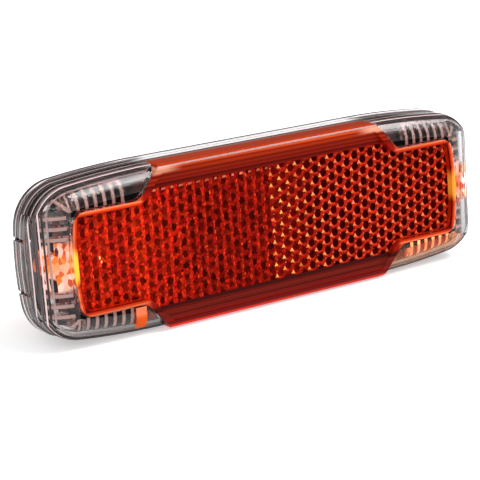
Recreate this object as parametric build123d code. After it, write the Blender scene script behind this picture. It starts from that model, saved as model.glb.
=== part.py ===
from build123d import *
import os

# A flat bicycle rear light for a luggage rack. Sizes are in millimetres.
# +X runs along the light, +Y points back to the rack and +Z is up. The origin is midway between
# the two studs, on the mounting face. A level is a distance in front of that face, so y = -level.

# Driving sizes of the whole light
LENGTH = 125.0
HEIGHT = 39.2
DEPTH = 26.0
CORNER_RADIUS = 10.4
END_BOW = 2.0
EDGE_BOW = 2.3

# Clearances and small shared sizes
CUT = 1.0
PARTING_GAP = 0.3
RUNNING_GAP = 0.1
SIDE_GAP = 0.3

# Clear cover
COVER_DEPTH = 12.5
SKIRT_STEP = 0.2
SKIRT_STEP_DEPTH = 1.5
COVER_WALL = 1.6
FRONT_WALL = 1.6
FRONT_ROUND = 5.0
END_ROUND = 9.0
TAB_HALF = 5.8
TAB_SLOT = 0.8
TAB_DEPTH = 5.0
PAD_HALF = 12.0
PAD_PROUD = 0.4
PAD_DEPTH = 5.5
DETENT_DEPTH = 0.35
DETENT_HALF = 3.0
DETENT_RISE = 1.0

# Red reflector panel: a cross with a tall centre, set in the cover's front, and two tongues
TONGUE_MARGIN_X = 9.5
TONGUE_MARGIN_Z = 7.6
CENTRE_LENGTH = 60.0
SHOULDER_RUN = 6.5
SHOULDER_HOLLOW = 3.0
TONGUE_ROUND = 3.5
TONGUE_BOW = 1.0
PANEL_DEPTH = 6.2
PANEL_ROUND = 1.6
PANEL_SKIN = 1.4
PANEL_SKIRT = 1.4
FIELD_RECESS = 2.0
FIELD_RIM = 1.1
FIELD_MARGIN = 5.8
BEZEL_STEP = 1.2
BEZEL_STEPS = 3
BACK_PLATE = 1.0

# Clear light guides at both ends
GUIDE_SKIN = 1.2
GUIDE_DEPTH = 3.6
GUIDE_START_GAP = 1.0
GUIDE_RIM = 1.8
RIB = 0.8
LADDER_PITCH = 2.25
LADDER_START = 9.0
END_RIBS = 3
END_RIB_START = 6.4
END_RIB_PITCH = 2.4
LENS_RADIUS = 2.9
LENS_DEPTH = 1.8
LENS_DISH = 1.2

# Black rear housing
BACK_INSET_X = 6.5
BACK_INSET_Z = 2.7
BACK_CORNER = 11.0
BACK_ROUND = 3.0
BACK_END_ROUND_SHARE = 0.9
HOUSING_WALL = 1.8
HOUSING_FLOOR = 2.0
FLARE_DEPTH = 1.0
COLLAR_INSET = 1.0
COLLAR = 1.0
SPIGOT_DEPTH = 3.8
SPIGOT_WALL = 1.6
SPIGOT_GAP = 0.4

# Rubber seal between housing and cover
SEAL_WIDTH = 0.9
SEAL_DEPTH = 1.6

# Battery bay. Its room makes each cell an AA cell, 14.5 across
CELL_LENGTH = 50.5
CELL_GAP = 0.6
CELL_SIDE_GAP = 0.3
CELL_BACK_GAP = 3.0
CELL_FRONT_GAP = 0.3
CELL_EDGE = 0.5
NUB_RADIUS = 2.75
NUB_LENGTH = 1.2
NUB_COLLAR_RADIUS = 5.2
NUB_COLLAR = 0.4
BAY_WALL = 1.4
BAY_WALL_GAP = 1.8
BAY_ROOM = 2.15
SADDLE_X = 13.0
SADDLE_WIDTH = 1.6
SADDLE_RISE = 2.6
SADDLE_GAP = 0.2

# Contact strips
STRIP = 0.4
STRIP_WIDTH = 7.0
STRIP_FOOT = 4.0
STRIP_DROP = 1.0
TAIL_WIDTH = 3.0
TAIL_REACH = 1.2
LEAF_WIDTH = 4.0
LEAF_SPREAD_SHARE = 0.5

# Circuit boards and what is on them
BOARD_BACK_SHARE = 0.515
BOARD_BACK_GAP = 0.8
BOARD = 1.6
BOARD_GAP = 0.3
BOARD_START_GAP = 1.0
BOARD_MARGIN_Z = 5.6
POST_RADIUS = 2.5
POST_IN = 3.4
POST_DOWN = 3.2
POST_OUT_MARGIN = 12.2
POST_SWITCH_GAP = 0.2
POST_LEAD_GAP = 1.0
SCREW_RADIUS = 1.0
SCREW_HEAD_RADIUS = 1.9
SCREW_HEAD = 1.3
SCREW_LENGTH = 6.0
SCREW_SLOT = 0.5
CHIP_SIZE = (4.9, 3.9, 1.5)
CHIP_PLACE_SHARE = 0.35
CHIP_LEG = 0.4
CHIP_LEG_REACH = 1.05
CHIP_LEG_PITCH = 1.27
CHIP_LEGS = 4
PART_GAP = 0.4
CAPACITOR_RADIUS = 3.15
CAPACITOR_GAP = 0.6
CAPACITOR_BASE = 0.9
CAPACITOR_PLACE_SHARE = 0.55
COIL_RADIUS = 2.9
COIL_HEIGHT = 3.2
COIL_FLANGE = 0.7
COIL_WAIST = 2.1
RESISTOR_SIZE = (1.6, 0.8, 0.5)
RESISTOR_COLUMNS = 2
RESISTOR_ROWS = 3

# Light-emitting diodes
LED_OUT = 3.3
LED_RADIUS = 2.5
LED_FLANGE_RADIUS = 2.9
LED_FLANGE = 1.0
LED_HEIGHT = 5.2
LED_STAND_SHARE = 0.258
LED_LEG = 0.5
LED_LEG_PITCH = 2.54
LED_LEG_TAIL = 0.6
LEG_HOLE_RADIUS = 0.5

# Power button and its switch
BUTTON_PLACE_SHARE = 0.44
BUTTON_RADIUS = 2.5
BUTTON_GAP = 0.3
BUTTON_PROUD = 0.9
BUTTON_TRAVEL = 0.5
BUTTON_FLANGE_RADIUS = 3.2
BUTTON_FLANGE = 0.8
BUTTON_SEAT_GAP = 0.2
BUTTON_FLOOR_GAP = 0.3
BUTTON_ROUND = 0.5
BUTTON_RIDGES = 3
BUTTON_RIDGE_GAP = 1.1
BUTTON_RIDGE = 0.4
BUTTON_RIDGE_DEPTH = 0.25
SWITCH_SIDE = 6.0
SWITCH_HEIGHT = 3.5
SWITCH_PIN = 0.6
SWITCH_PIN_PITCH = 4.5
SWITCH_PIN_TAIL = 0.8
PLUNGER_RADIUS = 1.6
PLUNGER_PROUD = 0.9
PLUNGER_GAP = 0.1
SHELF = 1.4
SHELF_HALF = 4.4
SHELF_RISE = 0.6

# Mounting studs
STUD_SPACING = 80.0
STUD_RADIUS = 2.5
STUD_NECK_RADIUS = 2.8
STUD_REACH = 12.0
STUD_HEAD_ACROSS = 8.0
STUD_HEAD = 3.5
STUD_CHAMFER = 0.6
BOSS_RADIUS = 6.5
BOSS_LEVEL = 6.5
POCKET_GAP = 0.1

# Leads from the main board to the other board
LEAD_RADIUS = 0.65
LEAD_GAP = 0.7
LEAD_BEND = 3.0
LEAD_TAIL = 0.8
LEAD_FLOOR_GAP = 0.05
LEAD_IN = 1.7
CHANNEL_HALF = 2.3
CHANNEL_LEVEL = 4.8

# Sizes worked out from the driving ones
HALF_LENGTH = LENGTH / 2
HALF_HEIGHT = HEIGHT / 2
EDGE_FLAT = CENTRE_LENGTH / 2
FLANGE_LEVEL = DEPTH - COVER_DEPTH
COLLAR_LEVEL = FLANGE_LEVEL - PARTING_GAP
SPIGOT_LEVEL = COLLAR_LEVEL + SPIGOT_DEPTH
SKIRT_INSET = 2 * SKIRT_STEP
WALL_LEVEL = FLANGE_LEVEL + 2 * SKIRT_STEP_DEPTH
COVER_INNER = SKIRT_INSET + COVER_WALL
CEILING = DEPTH - FRONT_WALL
INNER_ROUND = FRONT_ROUND - FRONT_WALL
SPIGOT_INSET = COVER_INNER + SPIGOT_GAP
SPIGOT_INNER = SPIGOT_INSET + SPIGOT_WALL
SEAL_INSET = SPIGOT_INSET - RUNNING_GAP - SEAL_WIDTH
REBATE_INSET = SEAL_INSET - SIDE_GAP
REBATE_LEVEL = COLLAR_LEVEL + SEAL_DEPTH + SIDE_GAP
PANEL_BACK = DEPTH - PANEL_DEPTH
TONGUE_HALF_X = HALF_LENGTH - TONGUE_MARGIN_X
TONGUE_HALF_Z = HALF_HEIGHT - TONGUE_MARGIN_Z
SHOULDER_SLOPE_SHARE = SHOULDER_RUN / (HALF_HEIGHT - TONGUE_HALF_Z)
FIELD_HALF_Z = HALF_HEIGHT - FIELD_MARGIN
GUIDE_START = CENTRE_LENGTH / 2 + GUIDE_START_GAP
BAY_HALF_HEIGHT = HALF_HEIGHT - BACK_INSET_Z - HOUSING_WALL
BAY_DEPTH = PANEL_BACK - CELL_FRONT_GAP - HOUSING_FLOOR - CELL_BACK_GAP
CELL_RADIUS = min((BAY_HALF_HEIGHT - CELL_SIDE_GAP - CELL_GAP / 2) / 2, BAY_DEPTH / 2)
CELL_Z = CELL_RADIUS + CELL_GAP / 2
CELL_LEVEL = PANEL_BACK - CELL_FRONT_GAP - CELL_RADIUS
BAY_WALL_HEIGHT = PANEL_BACK - BAY_WALL_GAP
SADDLE_LEVEL = HOUSING_FLOOR + CELL_BACK_GAP + SADDLE_RISE
STRIP_TOP = BAY_WALL_HEIGHT - STRIP_DROP
LEAF_SPREAD = LEAF_SPREAD_SHARE * CELL_RADIUS
BAY_END = CELL_LENGTH / 2 + BAY_ROOM + STRIP
SPARE_DEPTH = CEILING - HOUSING_FLOOR - SWITCH_SIDE - BOARD - LED_HEIGHT - LENS_DEPTH - GUIDE_SKIN
BOARD_LEVEL = HOUSING_FLOOR + SWITCH_SIDE + BOARD_BACK_SHARE * SPARE_DEPTH
BOARD_FRONT = BOARD_LEVEL + BOARD
LEDGE_LEVEL = BOARD_LEVEL - BOARD_BACK_GAP
FLARE_LEVEL = LEDGE_LEVEL - HOUSING_WALL
BOARD_INSET = SPIGOT_INNER + BOARD_GAP
BOARD_START = BAY_END + BAY_WALL + BOARD_START_GAP
BOARD_SPAN = HALF_LENGTH - BOARD_INSET - BOARD_START
BOARD_HALF_HEIGHT = HALF_HEIGHT - BOARD_MARGIN_Z
POST_X = BOARD_START + POST_IN
POST_Z = BOARD_HALF_HEIGHT - POST_DOWN
POST_OUT_X = HALF_LENGTH - POST_OUT_MARGIN
CHIP_X = BOARD_START + CHIP_PLACE_SHARE * BOARD_SPAN
CHIP_HALF_HEIGHT = CHIP_SIZE[1] / 2 + CHIP_LEG_REACH
CAPACITOR_X = BOARD_START + CAPACITOR_PLACE_SHARE * BOARD_SPAN
CAPACITOR_PLACE = (CAPACITOR_X, CHIP_HALF_HEIGHT + PART_GAP + CAPACITOR_RADIUS)
CAPACITOR_HEIGHT = PANEL_BACK - CAPACITOR_GAP - BOARD_FRONT
COIL_PLACE = (BOARD_START + TAIL_REACH + PART_GAP + COIL_RADIUS, -CHIP_HALF_HEIGHT - PART_GAP - COIL_RADIUS)
LED_X = TONGUE_HALF_X + LED_OUT
LED_BASE = BOARD_FRONT + LED_STAND_SHARE * SPARE_DEPTH
STUD_X = STUD_SPACING / 2
BACK_HALF_LENGTH = HALF_LENGTH - BACK_INSET_X
BACK_END_ROUND = BACK_END_ROUND_SHARE * FLARE_LEVEL
BUTTON_X = BOARD_START + BUTTON_PLACE_SHARE * (BACK_HALF_LENGTH - BOARD_START)
BUTTON_LEVEL = HOUSING_FLOOR + BUTTON_FLANGE_RADIUS + BUTTON_FLOOR_GAP
SHELF_TOP = BUTTON_LEVEL + SWITCH_SIDE / 2 + SHELF_RISE
LEAD_X = BOARD_START + LEAD_IN
LEAD_Z = LEAD_RADIUS + LEAD_GAP / 2
POST_LOW_Z = LEAD_Z + LEAD_RADIUS + POST_LEAD_GAP + POST_RADIUS
SIDES = (-1, 1)


def edge_drop(x, half_length):
    """How far a long edge has fallen at x, past its straight middle."""
    run = half_length - END_BOW - EDGE_FLAT
    radius = (run ** 2 + EDGE_BOW ** 2) / (2 * EDGE_BOW)
    return radius - (radius ** 2 - max(0, x - EDGE_FLAT) ** 2) ** (1 / 2)


BUTTON_WALL = HALF_HEIGHT - BACK_INSET_Z - edge_drop(BUTTON_X, BACK_HALF_LENGTH)
BUTTON_INNER = BUTTON_WALL - HOUSING_WALL - BUTTON_SEAT_GAP
SWITCH_FACE = BUTTON_INNER - BUTTON_FLANGE - PLUNGER_PROUD
SWITCH_BACK = SWITCH_FACE - SWITCH_HEIGHT
POST_OUT_Z = SWITCH_BACK - POST_SWITCH_GAP - POST_RADIUS


def level(distance):
    """The plane this far in front of the mounting face. Its normal points forward."""
    return Plane.XZ.offset(distance)


def slab(sketch, start, end):
    """A flat outline in X and Z, raised from one level to another."""
    return extrude(level(start) * sketch, end - start)


def block(x_range, z_range, levels):
    """A box between two places in X, two in Z and two levels."""
    size = (x_range[1] - x_range[0], levels[1] - levels[0], z_range[1] - z_range[0])
    centre = (sum(x_range) / 2, -sum(levels) / 2, sum(z_range) / 2)
    return Pos(*centre) * Box(*size)


def pin(place, radius, start, end):
    """A round bar that points to the front."""
    return slab(Pos(*place) * Circle(radius), start, end)


def bar_along_x(x_range, z, at_level, radius):
    """A round bar that lies along the light."""
    plane = Plane.YZ.offset(x_range[0])
    return extrude(plane * Pos(-at_level, z) * Circle(radius), x_range[1] - x_range[0])


def bar_along_z(x, at_level, z_range, radius):
    """A round bar that stands up."""
    plane = Plane.XY.offset(z_range[0])
    return extrude(plane * Pos(x, -at_level) * Circle(radius), z_range[1] - z_range[0])


def bowed(half_x, half_z, corner):
    """A rectangle with rounded corners and bowed ends. Its long edges fall off past a straight middle."""
    x, z = half_x - END_BOW, half_z - EDGE_BOW
    fall = TangentArc((EDGE_FLAT, half_z), (x, z), tangent=(1, 0))
    end = ThreePointArc((x, z), (half_x, 0), (x, -z))
    top = Line((-EDGE_FLAT, half_z), (EDGE_FLAT, half_z))
    right = [fall, end, mirror(fall, Plane.XZ)]
    left = [mirror(edge, Plane.YZ) for edge in right]
    face = make_face([top, *right, mirror(top, Plane.XZ), *left])
    corners = [v for v in face.vertices() if abs(v.X) > x - RUNNING_GAP]
    return fillet(corners, corner)


def outline(inset):
    """The cover's outline, drawn in evenly by an inset."""
    return bowed(HALF_LENGTH - inset, HALF_HEIGHT - inset, CORNER_RADIUS - inset)


def rounded_in_plan(half_length, levels, radius):
    """A block between two levels. Seen from above, its corners at the second level are rounded."""
    start, end = levels
    plan = Pos(0, -(start + end) / 2) * Rectangle(2 * half_length, abs(end - start))
    corners = [v for v in plan.vertices() if abs(v.Y + end) < RUNNING_GAP]
    return extrude(Plane.XY.offset(-HEIGHT) * fillet(corners, radius), 2 * HEIGHT)


def wrapped(inset, front):
    """A block, drawn in from the cover's ends by an inset, whose front turns round into the ends."""
    return rounded_in_plan(HALF_LENGTH - inset, (0, front), END_ROUND + SKIRT_INSET - inset)


def back_outline(wall=0):
    """The narrower outline of the housing's rear, or of its inside."""
    half_z = HALF_HEIGHT - BACK_INSET_Z - wall
    return bowed(BACK_HALF_LENGTH - wall, half_z, BACK_CORNER - wall)


def back_wrapped(wall, front, back):
    """A block from the front level to the back one, whose back turns round into the ends."""
    return rounded_in_plan(BACK_HALF_LENGTH - wall, (front, back), BACK_END_ROUND - wall)


def cross(grow=0):
    """The reflector's cross: a tall centre with slanted shoulders and a tongue at each end.

    The centre runs out past the cover's long edges, which cut it off.
    """
    tongue_x, tongue_z = TONGUE_HALF_X + grow, TONGUE_HALF_Z + grow
    centre_z = HALF_HEIGHT + CUT + grow
    centre_x = CENTRE_LENGTH / 2 - CUT * SHOULDER_SLOPE_SHARE + grow
    root_x = CENTRE_LENGTH / 2 + SHOULDER_RUN + grow
    half = [(-centre_x, centre_z), (centre_x, centre_z), (root_x, tongue_z), (tongue_x, tongue_z)]
    top = Polyline((-tongue_x, tongue_z), (-root_x, tongue_z), *half)
    right = ThreePointArc((tongue_x, tongue_z), (tongue_x + TONGUE_BOW, 0), (tongue_x, -tongue_z))
    bottom = mirror(top, Plane.XZ)
    left = mirror(right, Plane.YZ)
    face = make_face([top, right, bottom, left])
    for reach, radius in ((root_x, SHOULDER_HOLLOW - grow), (tongue_x, TONGUE_ROUND + grow)):
        corners = [v for v in face.vertices() if abs(abs(v.X) - reach) < RUNNING_GAP]
        face = fillet(corners, radius)
    return face


def clear_cover():
    shell = slab(outline(0), FLANGE_LEVEL, FLANGE_LEVEL + SKIRT_STEP_DEPTH)
    shell += slab(outline(SKIRT_STEP), FLANGE_LEVEL, WALL_LEVEL)
    walls = slab(outline(SKIRT_INSET), FLANGE_LEVEL, DEPTH)
    walls = fillet(walls.faces().sort_by(Axis.Y)[0].edges(), FRONT_ROUND)
    shell += walls & wrapped(SKIRT_INSET, DEPTH)
    shell += end_pads()
    shell -= cover_room()
    shell -= slab(outline(REBATE_INSET), FLANGE_LEVEL - CUT, REBATE_LEVEL)
    shell -= slab(cross(RUNNING_GAP), PANEL_BACK, DEPTH + CUT)
    for side in SIDES:
        shell -= tab_slots(side)
        shell += detent(side)
    return shell


def cover_room(gap=0):
    """The space inside the cover, drawn in from its walls by a gap."""
    room = slab(outline(COVER_INNER + gap), FLANGE_LEVEL - CUT, CEILING)
    room = fillet(room.faces().sort_by(Axis.Y)[0].edges(), INNER_ROUND)
    return room & wrapped(COVER_INNER + gap, CEILING)


def end_pads():
    """The grip pads that stand proud of both end walls."""
    pad = slab(outline(SKIRT_INSET - PAD_PROUD), WALL_LEVEL, WALL_LEVEL + PAD_DEPTH)
    pad &= wrapped(SKIRT_INSET - PAD_PROUD, DEPTH)
    pad &= block((-LENGTH, LENGTH), (-PAD_HALF, PAD_HALF), (WALL_LEVEL, DEPTH))
    return pad - block((-TONGUE_HALF_X, TONGUE_HALF_X), (-HEIGHT, HEIGHT), (0, DEPTH))


def tab_slots(side):
    """The two slits that leave a springy tab in an end wall."""
    inner = HALF_LENGTH - COVER_INNER - END_BOW
    x_range = sorted((side * inner, side * (HALF_LENGTH + CUT)))
    slots = Part()
    for half in SIDES:
        edges = sorted((half * TAB_HALF, half * (TAB_HALF + TAB_SLOT)))
        slots += block(x_range, edges, (FLANGE_LEVEL - CUT, FLANGE_LEVEL + TAB_DEPTH))
    return slots


def detent(side):
    """The small ridge inside a tab that clicks into the housing's groove."""
    face = HALF_LENGTH - COVER_INNER
    x_range = sorted((side * (face - DETENT_DEPTH), side * (face + COVER_WALL / 2)))
    start = REBATE_LEVEL
    return block(x_range, (-DETENT_HALF, DETENT_HALF), (start, start + DETENT_RISE))


def reflector_panel():
    block_body = slab(outline(SKIRT_INSET), PANEL_BACK, DEPTH)
    block_body = fillet(block_body.faces().sort_by(Axis.Y)[0].edges(), PANEL_ROUND)
    panel = block_body & slab(cross(), PANEL_BACK, DEPTH)
    step_depth = FIELD_RECESS / (BEZEL_STEPS + 1)
    for step in range(BEZEL_STEPS + 1):
        half_height = FIELD_HALF_Z + (BEZEL_STEPS - step) * BEZEL_STEP
        shape = cross(-FIELD_RIM) & Rectangle(LENGTH, 2 * half_height)
        panel -= slab(shape, DEPTH - (step + 1) * step_depth, DEPTH + CUT)
    return panel - slab(pocket_outline(), PANEL_BACK - CUT, DEPTH - FIELD_RECESS - PANEL_SKIN)


def pocket_outline(gap=0):
    """The hollow behind the reflector, which its back plate closes."""
    return cross(-PANEL_SKIRT - gap) & outline(SKIRT_INSET + PANEL_SKIRT + gap)


def reflector_back_plate():
    return slab(pocket_outline(RUNNING_GAP), PANEL_BACK, PANEL_BACK + BACK_PLATE)


def guide_outline(inset=0):
    """The clear guide's outline at the right end, round the red tongue."""
    shape = outline(COVER_INNER + SIDE_GAP + inset) - cross(SIDE_GAP + inset)
    half = Pos(GUIDE_START + inset + LENGTH / 2, 0) * Rectangle(LENGTH, HEIGHT)
    return shape & half


def light_guide():
    start = CEILING - GUIDE_DEPTH
    skin = CEILING - GUIDE_SKIN
    guide = slab(guide_outline(), skin, CEILING)
    guide += slab(guide_outline() - guide_outline(GUIDE_RIM), start, CEILING)
    guide += slab(guide_ribs() & guide_outline(), start, CEILING)
    lens = Pos(LED_X, 0) * Circle(LENS_RADIUS)
    guide += slab(lens & guide_outline(), skin - LENS_DEPTH, CEILING)
    dish = Pos(LED_X, LENS_DEPTH - skin, 0) * Rot(90, 0, 0) * Cone(
        LENS_RADIUS - RIB / 2, 0, LENS_DISH, align=(Align.CENTER, Align.CENTER, Align.MIN)
    )
    return (guide - dish) & cover_room(SIDE_GAP)


def guide_ribs():
    """The ladder ribs along the tongue, the level ribs at the end and the slanted corner ribs."""
    ribs = Sketch()
    rungs = int((TONGUE_HALF_X + TONGUE_BOW - GUIDE_START - LADDER_START) / LADDER_PITCH) + 1
    for rung in range(rungs):
        ribs += Pos(GUIDE_START + LADDER_START + rung * LADDER_PITCH, 0) * Rectangle(RIB, HEIGHT)
    end_x = TONGUE_HALF_X + CORNER_RADIUS
    for side in SIDES:
        for rung in range(END_RIBS):
            z = side * (END_RIB_START + rung * END_RIB_PITCH)
            ribs += Pos(end_x, z) * Rectangle(2 * CORNER_RADIUS, RIB)
        corner = Pos(TONGUE_HALF_X, side * TONGUE_HALF_Z)
        ribs += corner * Rot(0, 0, side * 45) * Rectangle(2 * CORNER_RADIUS, RIB)
    return ribs


def housing_shell():
    spigot = outline(SPIGOT_INSET)
    flare_top = FLARE_LEVEL + FLARE_DEPTH
    rear = slab(back_outline(), 0, LEDGE_LEVEL)
    rear = fillet(rear.faces().sort_by(Axis.Y)[-1].edges(), BACK_ROUND)
    shell = rear & back_wrapped(0, LEDGE_LEVEL, 0)
    shell += loft([level(FLARE_LEVEL) * back_outline(), level(flare_top) * spigot])
    shell += slab(spigot, flare_top, SPIGOT_LEVEL)
    shell += slab(outline(COLLAR_INSET), COLLAR_LEVEL - COLLAR, COLLAR_LEVEL)
    room = slab(back_outline(HOUSING_WALL), HOUSING_FLOOR, SPIGOT_LEVEL)
    shell -= room & back_wrapped(HOUSING_WALL, SPIGOT_LEVEL, HOUSING_FLOOR)
    return shell - slab(outline(SPIGOT_INNER), LEDGE_LEVEL, SPIGOT_LEVEL + CUT)


def battery_bay():
    """The two end walls and the saddles that the cells lie in."""
    room = (-back_wall_height(), back_wall_height())
    bay = Part()
    for side in SIDES:
        wall = sorted((side * BAY_END, side * (BAY_END + BAY_WALL)))
        bay += block(wall, room, (HOUSING_FLOOR - RUNNING_GAP, BAY_WALL_HEIGHT))
        rib = (side * SADDLE_X - SADDLE_WIDTH / 2, side * SADDLE_X + SADDLE_WIDTH / 2)
        saddle = block(rib, room, (HOUSING_FLOOR - RUNNING_GAP, SADDLE_LEVEL))
        for half in SIDES:
            saddle -= bar_along_x(rib, half * CELL_Z, CELL_LEVEL, CELL_RADIUS + SADDLE_GAP)
            notch = (half * CELL_Z - TAIL_WIDTH, half * CELL_Z + TAIL_WIDTH)
            bay -= block(wall, notch, (BOARD_FRONT - SIDE_GAP, BAY_WALL_HEIGHT + CUT))
        bay += saddle
    return bay


def back_wall_height():
    """Half the height between the housing's long walls, at the bay walls."""
    return BAY_HALF_HEIGHT + RUNNING_GAP - edge_drop(BAY_END, BACK_HALF_LENGTH) / 2


def post_places():
    """Where the board screws go, at one end."""
    return [(POST_X, POST_Z), (POST_X, -POST_LOW_Z), (POST_OUT_X, POST_OUT_Z), (POST_OUT_X, -POST_OUT_Z)]


def screw_places():
    """Two screws hold each board: one inner, one outer, on opposite corners."""
    return [(POST_X, POST_Z), (POST_OUT_X, -POST_OUT_Z)]


def stud_boss(side):
    return pin((side * STUD_X, 0), BOSS_RADIUS, HOUSING_FLOOR - RUNNING_GAP, BOSS_LEVEL)


def stud_hole(side):
    """The hole for a stud's neck and the pocket that keeps its head from turning."""
    place = Pos(side * STUD_X, 0)
    pocket = RegularPolygon(STUD_HEAD_ACROSS / 2 + POCKET_GAP, 6, major_radius=False)
    hole = slab(place * Circle(STUD_NECK_RADIUS + RUNNING_GAP), -CUT, BOSS_LEVEL)
    return hole + slab(place * pocket, HOUSING_FLOOR, BOSS_LEVEL + CUT)


def switch_room():
    """The space that the tact switch and the button's flange need."""
    half = SWITCH_SIDE / 2 + RUNNING_GAP
    room = block((BUTTON_X - half, BUTTON_X + half), (-SWITCH_FACE, -SWITCH_BACK), (HOUSING_FLOOR, BOARD_LEVEL))
    seat = (-BUTTON_INNER - BUTTON_SEAT_GAP, -SWITCH_FACE)
    return room + bar_along_z(BUTTON_X, BUTTON_LEVEL, seat, BUTTON_FLANGE_RADIUS + BUTTON_SEAT_GAP)


def switch_shelf():
    """The upright plate that the tact switch backs on to."""
    x_range = (BUTTON_X - SHELF_HALF, BUTTON_X + SHELF_HALF)
    return block(x_range, (-SWITCH_BACK, -SWITCH_BACK + SHELF), (HOUSING_FLOOR - RUNNING_GAP, SHELF_TOP))


def rear_housing():
    housing = housing_shell() + battery_bay()
    for side in SIDES:
        housing += stud_boss(side)
        for x, z in post_places():
            housing += pin((side * x, z), POST_RADIUS, HOUSING_FLOOR - RUNNING_GAP, BOARD_LEVEL)
        for x, z in screw_places():
            hole = SCREW_RADIUS + RUNNING_GAP
            bottom = BOARD_FRONT - SCREW_LENGTH - SIDE_GAP
            housing -= pin((side * x, z), hole, bottom, BOARD_LEVEL + CUT)
        housing -= pin((side * LED_X, 0), LED_FLANGE_RADIUS + SIDE_GAP, BOARD_FRONT, SPIGOT_LEVEL + CUT)
    housing -= switch_room()
    housing += switch_shelf()
    for side in SIDES:
        housing -= stud_hole(side)
    reach = (-BUTTON_WALL - CUT, -BUTTON_INNER + BUTTON_SEAT_GAP)
    housing -= bar_along_z(BUTTON_X, BUTTON_LEVEL, reach, BUTTON_RADIUS + BUTTON_GAP)
    channel = (-BOARD_START, BOARD_START)
    return housing - block(channel, (-CHANNEL_HALF, CHANNEL_HALF), (HOUSING_FLOOR, CHANNEL_LEVEL))


def housing_seal():
    ring = outline(SEAL_INSET) - outline(SEAL_INSET + SEAL_WIDTH)
    return slab(ring, COLLAR_LEVEL, COLLAR_LEVEL + SEAL_DEPTH)


def mount_stud(side):
    place = Pos(side * STUD_X, 0)
    head = RegularPolygon(STUD_HEAD_ACROSS / 2, 6, major_radius=False)
    shank = slab(place * Circle(STUD_RADIUS), -STUD_REACH, 0)
    shank = chamfer(shank.faces().sort_by(Axis.Y)[-1].edges(), STUD_CHAMFER)
    neck = slab(place * Circle(STUD_NECK_RADIUS), 0, HOUSING_FLOOR)
    return shank + neck + slab(place * head, HOUSING_FLOOR, HOUSING_FLOOR + STUD_HEAD)


def battery(half, nub_side):
    """One round cell. The nub points to the given end."""
    flat_end = -CELL_LENGTH / 2
    can_end = CELL_LENGTH / 2 - NUB_LENGTH
    can = bar_along_x((flat_end, can_end - NUB_COLLAR), 0, 0, CELL_RADIUS)
    can = chamfer(can.edges(), CELL_EDGE)
    can += bar_along_x((can_end - NUB_COLLAR, can_end), 0, 0, NUB_COLLAR_RADIUS)
    can += bar_along_x((can_end, CELL_LENGTH / 2), 0, 0, NUB_RADIUS)
    turned = can if nub_side > 0 else mirror(can, Plane.YZ)
    return Pos(0, -CELL_LEVEL, half * CELL_Z) * turned


def contact_leaf(side, half):
    """A bent spring leaf from its strip to the cell's end."""
    strip_x = BAY_END - STRIP
    tip_x = CELL_LENGTH / 2
    low, high = CELL_LEVEL - LEAF_SPREAD, CELL_LEVEL + LEAF_SPREAD
    flat = STRIP * 2
    points = [
        (strip_x, low), (tip_x, CELL_LEVEL - flat), (tip_x, CELL_LEVEL + flat), (strip_x, high),
        (strip_x, high - flat), (tip_x + STRIP, CELL_LEVEL + STRIP), (tip_x + STRIP, CELL_LEVEL - STRIP),
        (strip_x, low + flat),
    ]
    bent = make_face(Polyline(*[(side * x, -at) for x, at in points], close=True))
    start = half * CELL_Z - LEAF_WIDTH / 2
    return extrude(Plane.XY.offset(start) * bent, LEAF_WIDTH)


def contact_strip(half):
    """A contact at the main board's end, with a tail that lies on the board."""
    middle = half * CELL_Z
    plate = block((BAY_END - STRIP, BAY_END), (middle - STRIP_WIDTH / 2, middle + STRIP_WIDTH / 2),
                  (STRIP_FOOT, STRIP_TOP))
    tail = block((BAY_END - STRIP, BOARD_START + TAIL_REACH),
                 (middle - TAIL_WIDTH / 2, middle + TAIL_WIDTH / 2), (BOARD_FRONT, BOARD_FRONT + STRIP))
    return plate + tail + contact_leaf(1, half)


def contact_link():
    """The strip that joins the two cells at the other end."""
    reach = CELL_Z + STRIP_WIDTH / 2
    strip = block((-BAY_END, -BAY_END + STRIP), (-reach, reach), (STRIP_FOOT + LEAD_BEND, STRIP_TOP))
    for half in SIDES:
        strip += contact_leaf(-1, half)
    return strip


def bare_board():
    """The board's shape at the right end, with its screw, lead and lamp holes."""
    shape = outline(BOARD_INSET)
    shape &= Pos(BOARD_START + LENGTH / 2, 0) * Rectangle(LENGTH, 2 * BOARD_HALF_HEIGHT)
    for place in screw_places():
        shape -= Pos(*place) * Circle(SCREW_RADIUS + RUNNING_GAP)
    for half in SIDES:
        shape -= Pos(LED_X + half * LED_LEG_PITCH / 2, 0) * Circle(LEG_HOLE_RADIUS)
        shape -= Pos(LEAD_X, half * LEAD_Z) * Circle(LEAD_RADIUS + RUNNING_GAP)
    return shape


def main_board():
    shape = bare_board()
    for x, z in switch_pin_places():
        shape -= Pos(x, z) * Circle(SWITCH_PIN)
    return slab(shape, BOARD_LEVEL, BOARD_FRONT)


def led_board():
    return mirror(slab(bare_board(), BOARD_LEVEL, BOARD_FRONT), Plane.YZ)


def control_chip():
    width, height, thickness = CHIP_SIZE
    start = BOARD_FRONT + CHIP_LEG / 2
    chip = block((CHIP_X - width / 2, CHIP_X + width / 2), (-height / 2, height / 2), (start, start + thickness))
    for leg in range(CHIP_LEGS):
        x = CHIP_X + (leg - (CHIP_LEGS - 1) / 2) * CHIP_LEG_PITCH
        chip += block((x - CHIP_LEG / 2, x + CHIP_LEG / 2), (-CHIP_HALF_HEIGHT, CHIP_HALF_HEIGHT),
                      (BOARD_FRONT, BOARD_FRONT + CHIP_LEG))
    return chip


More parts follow.
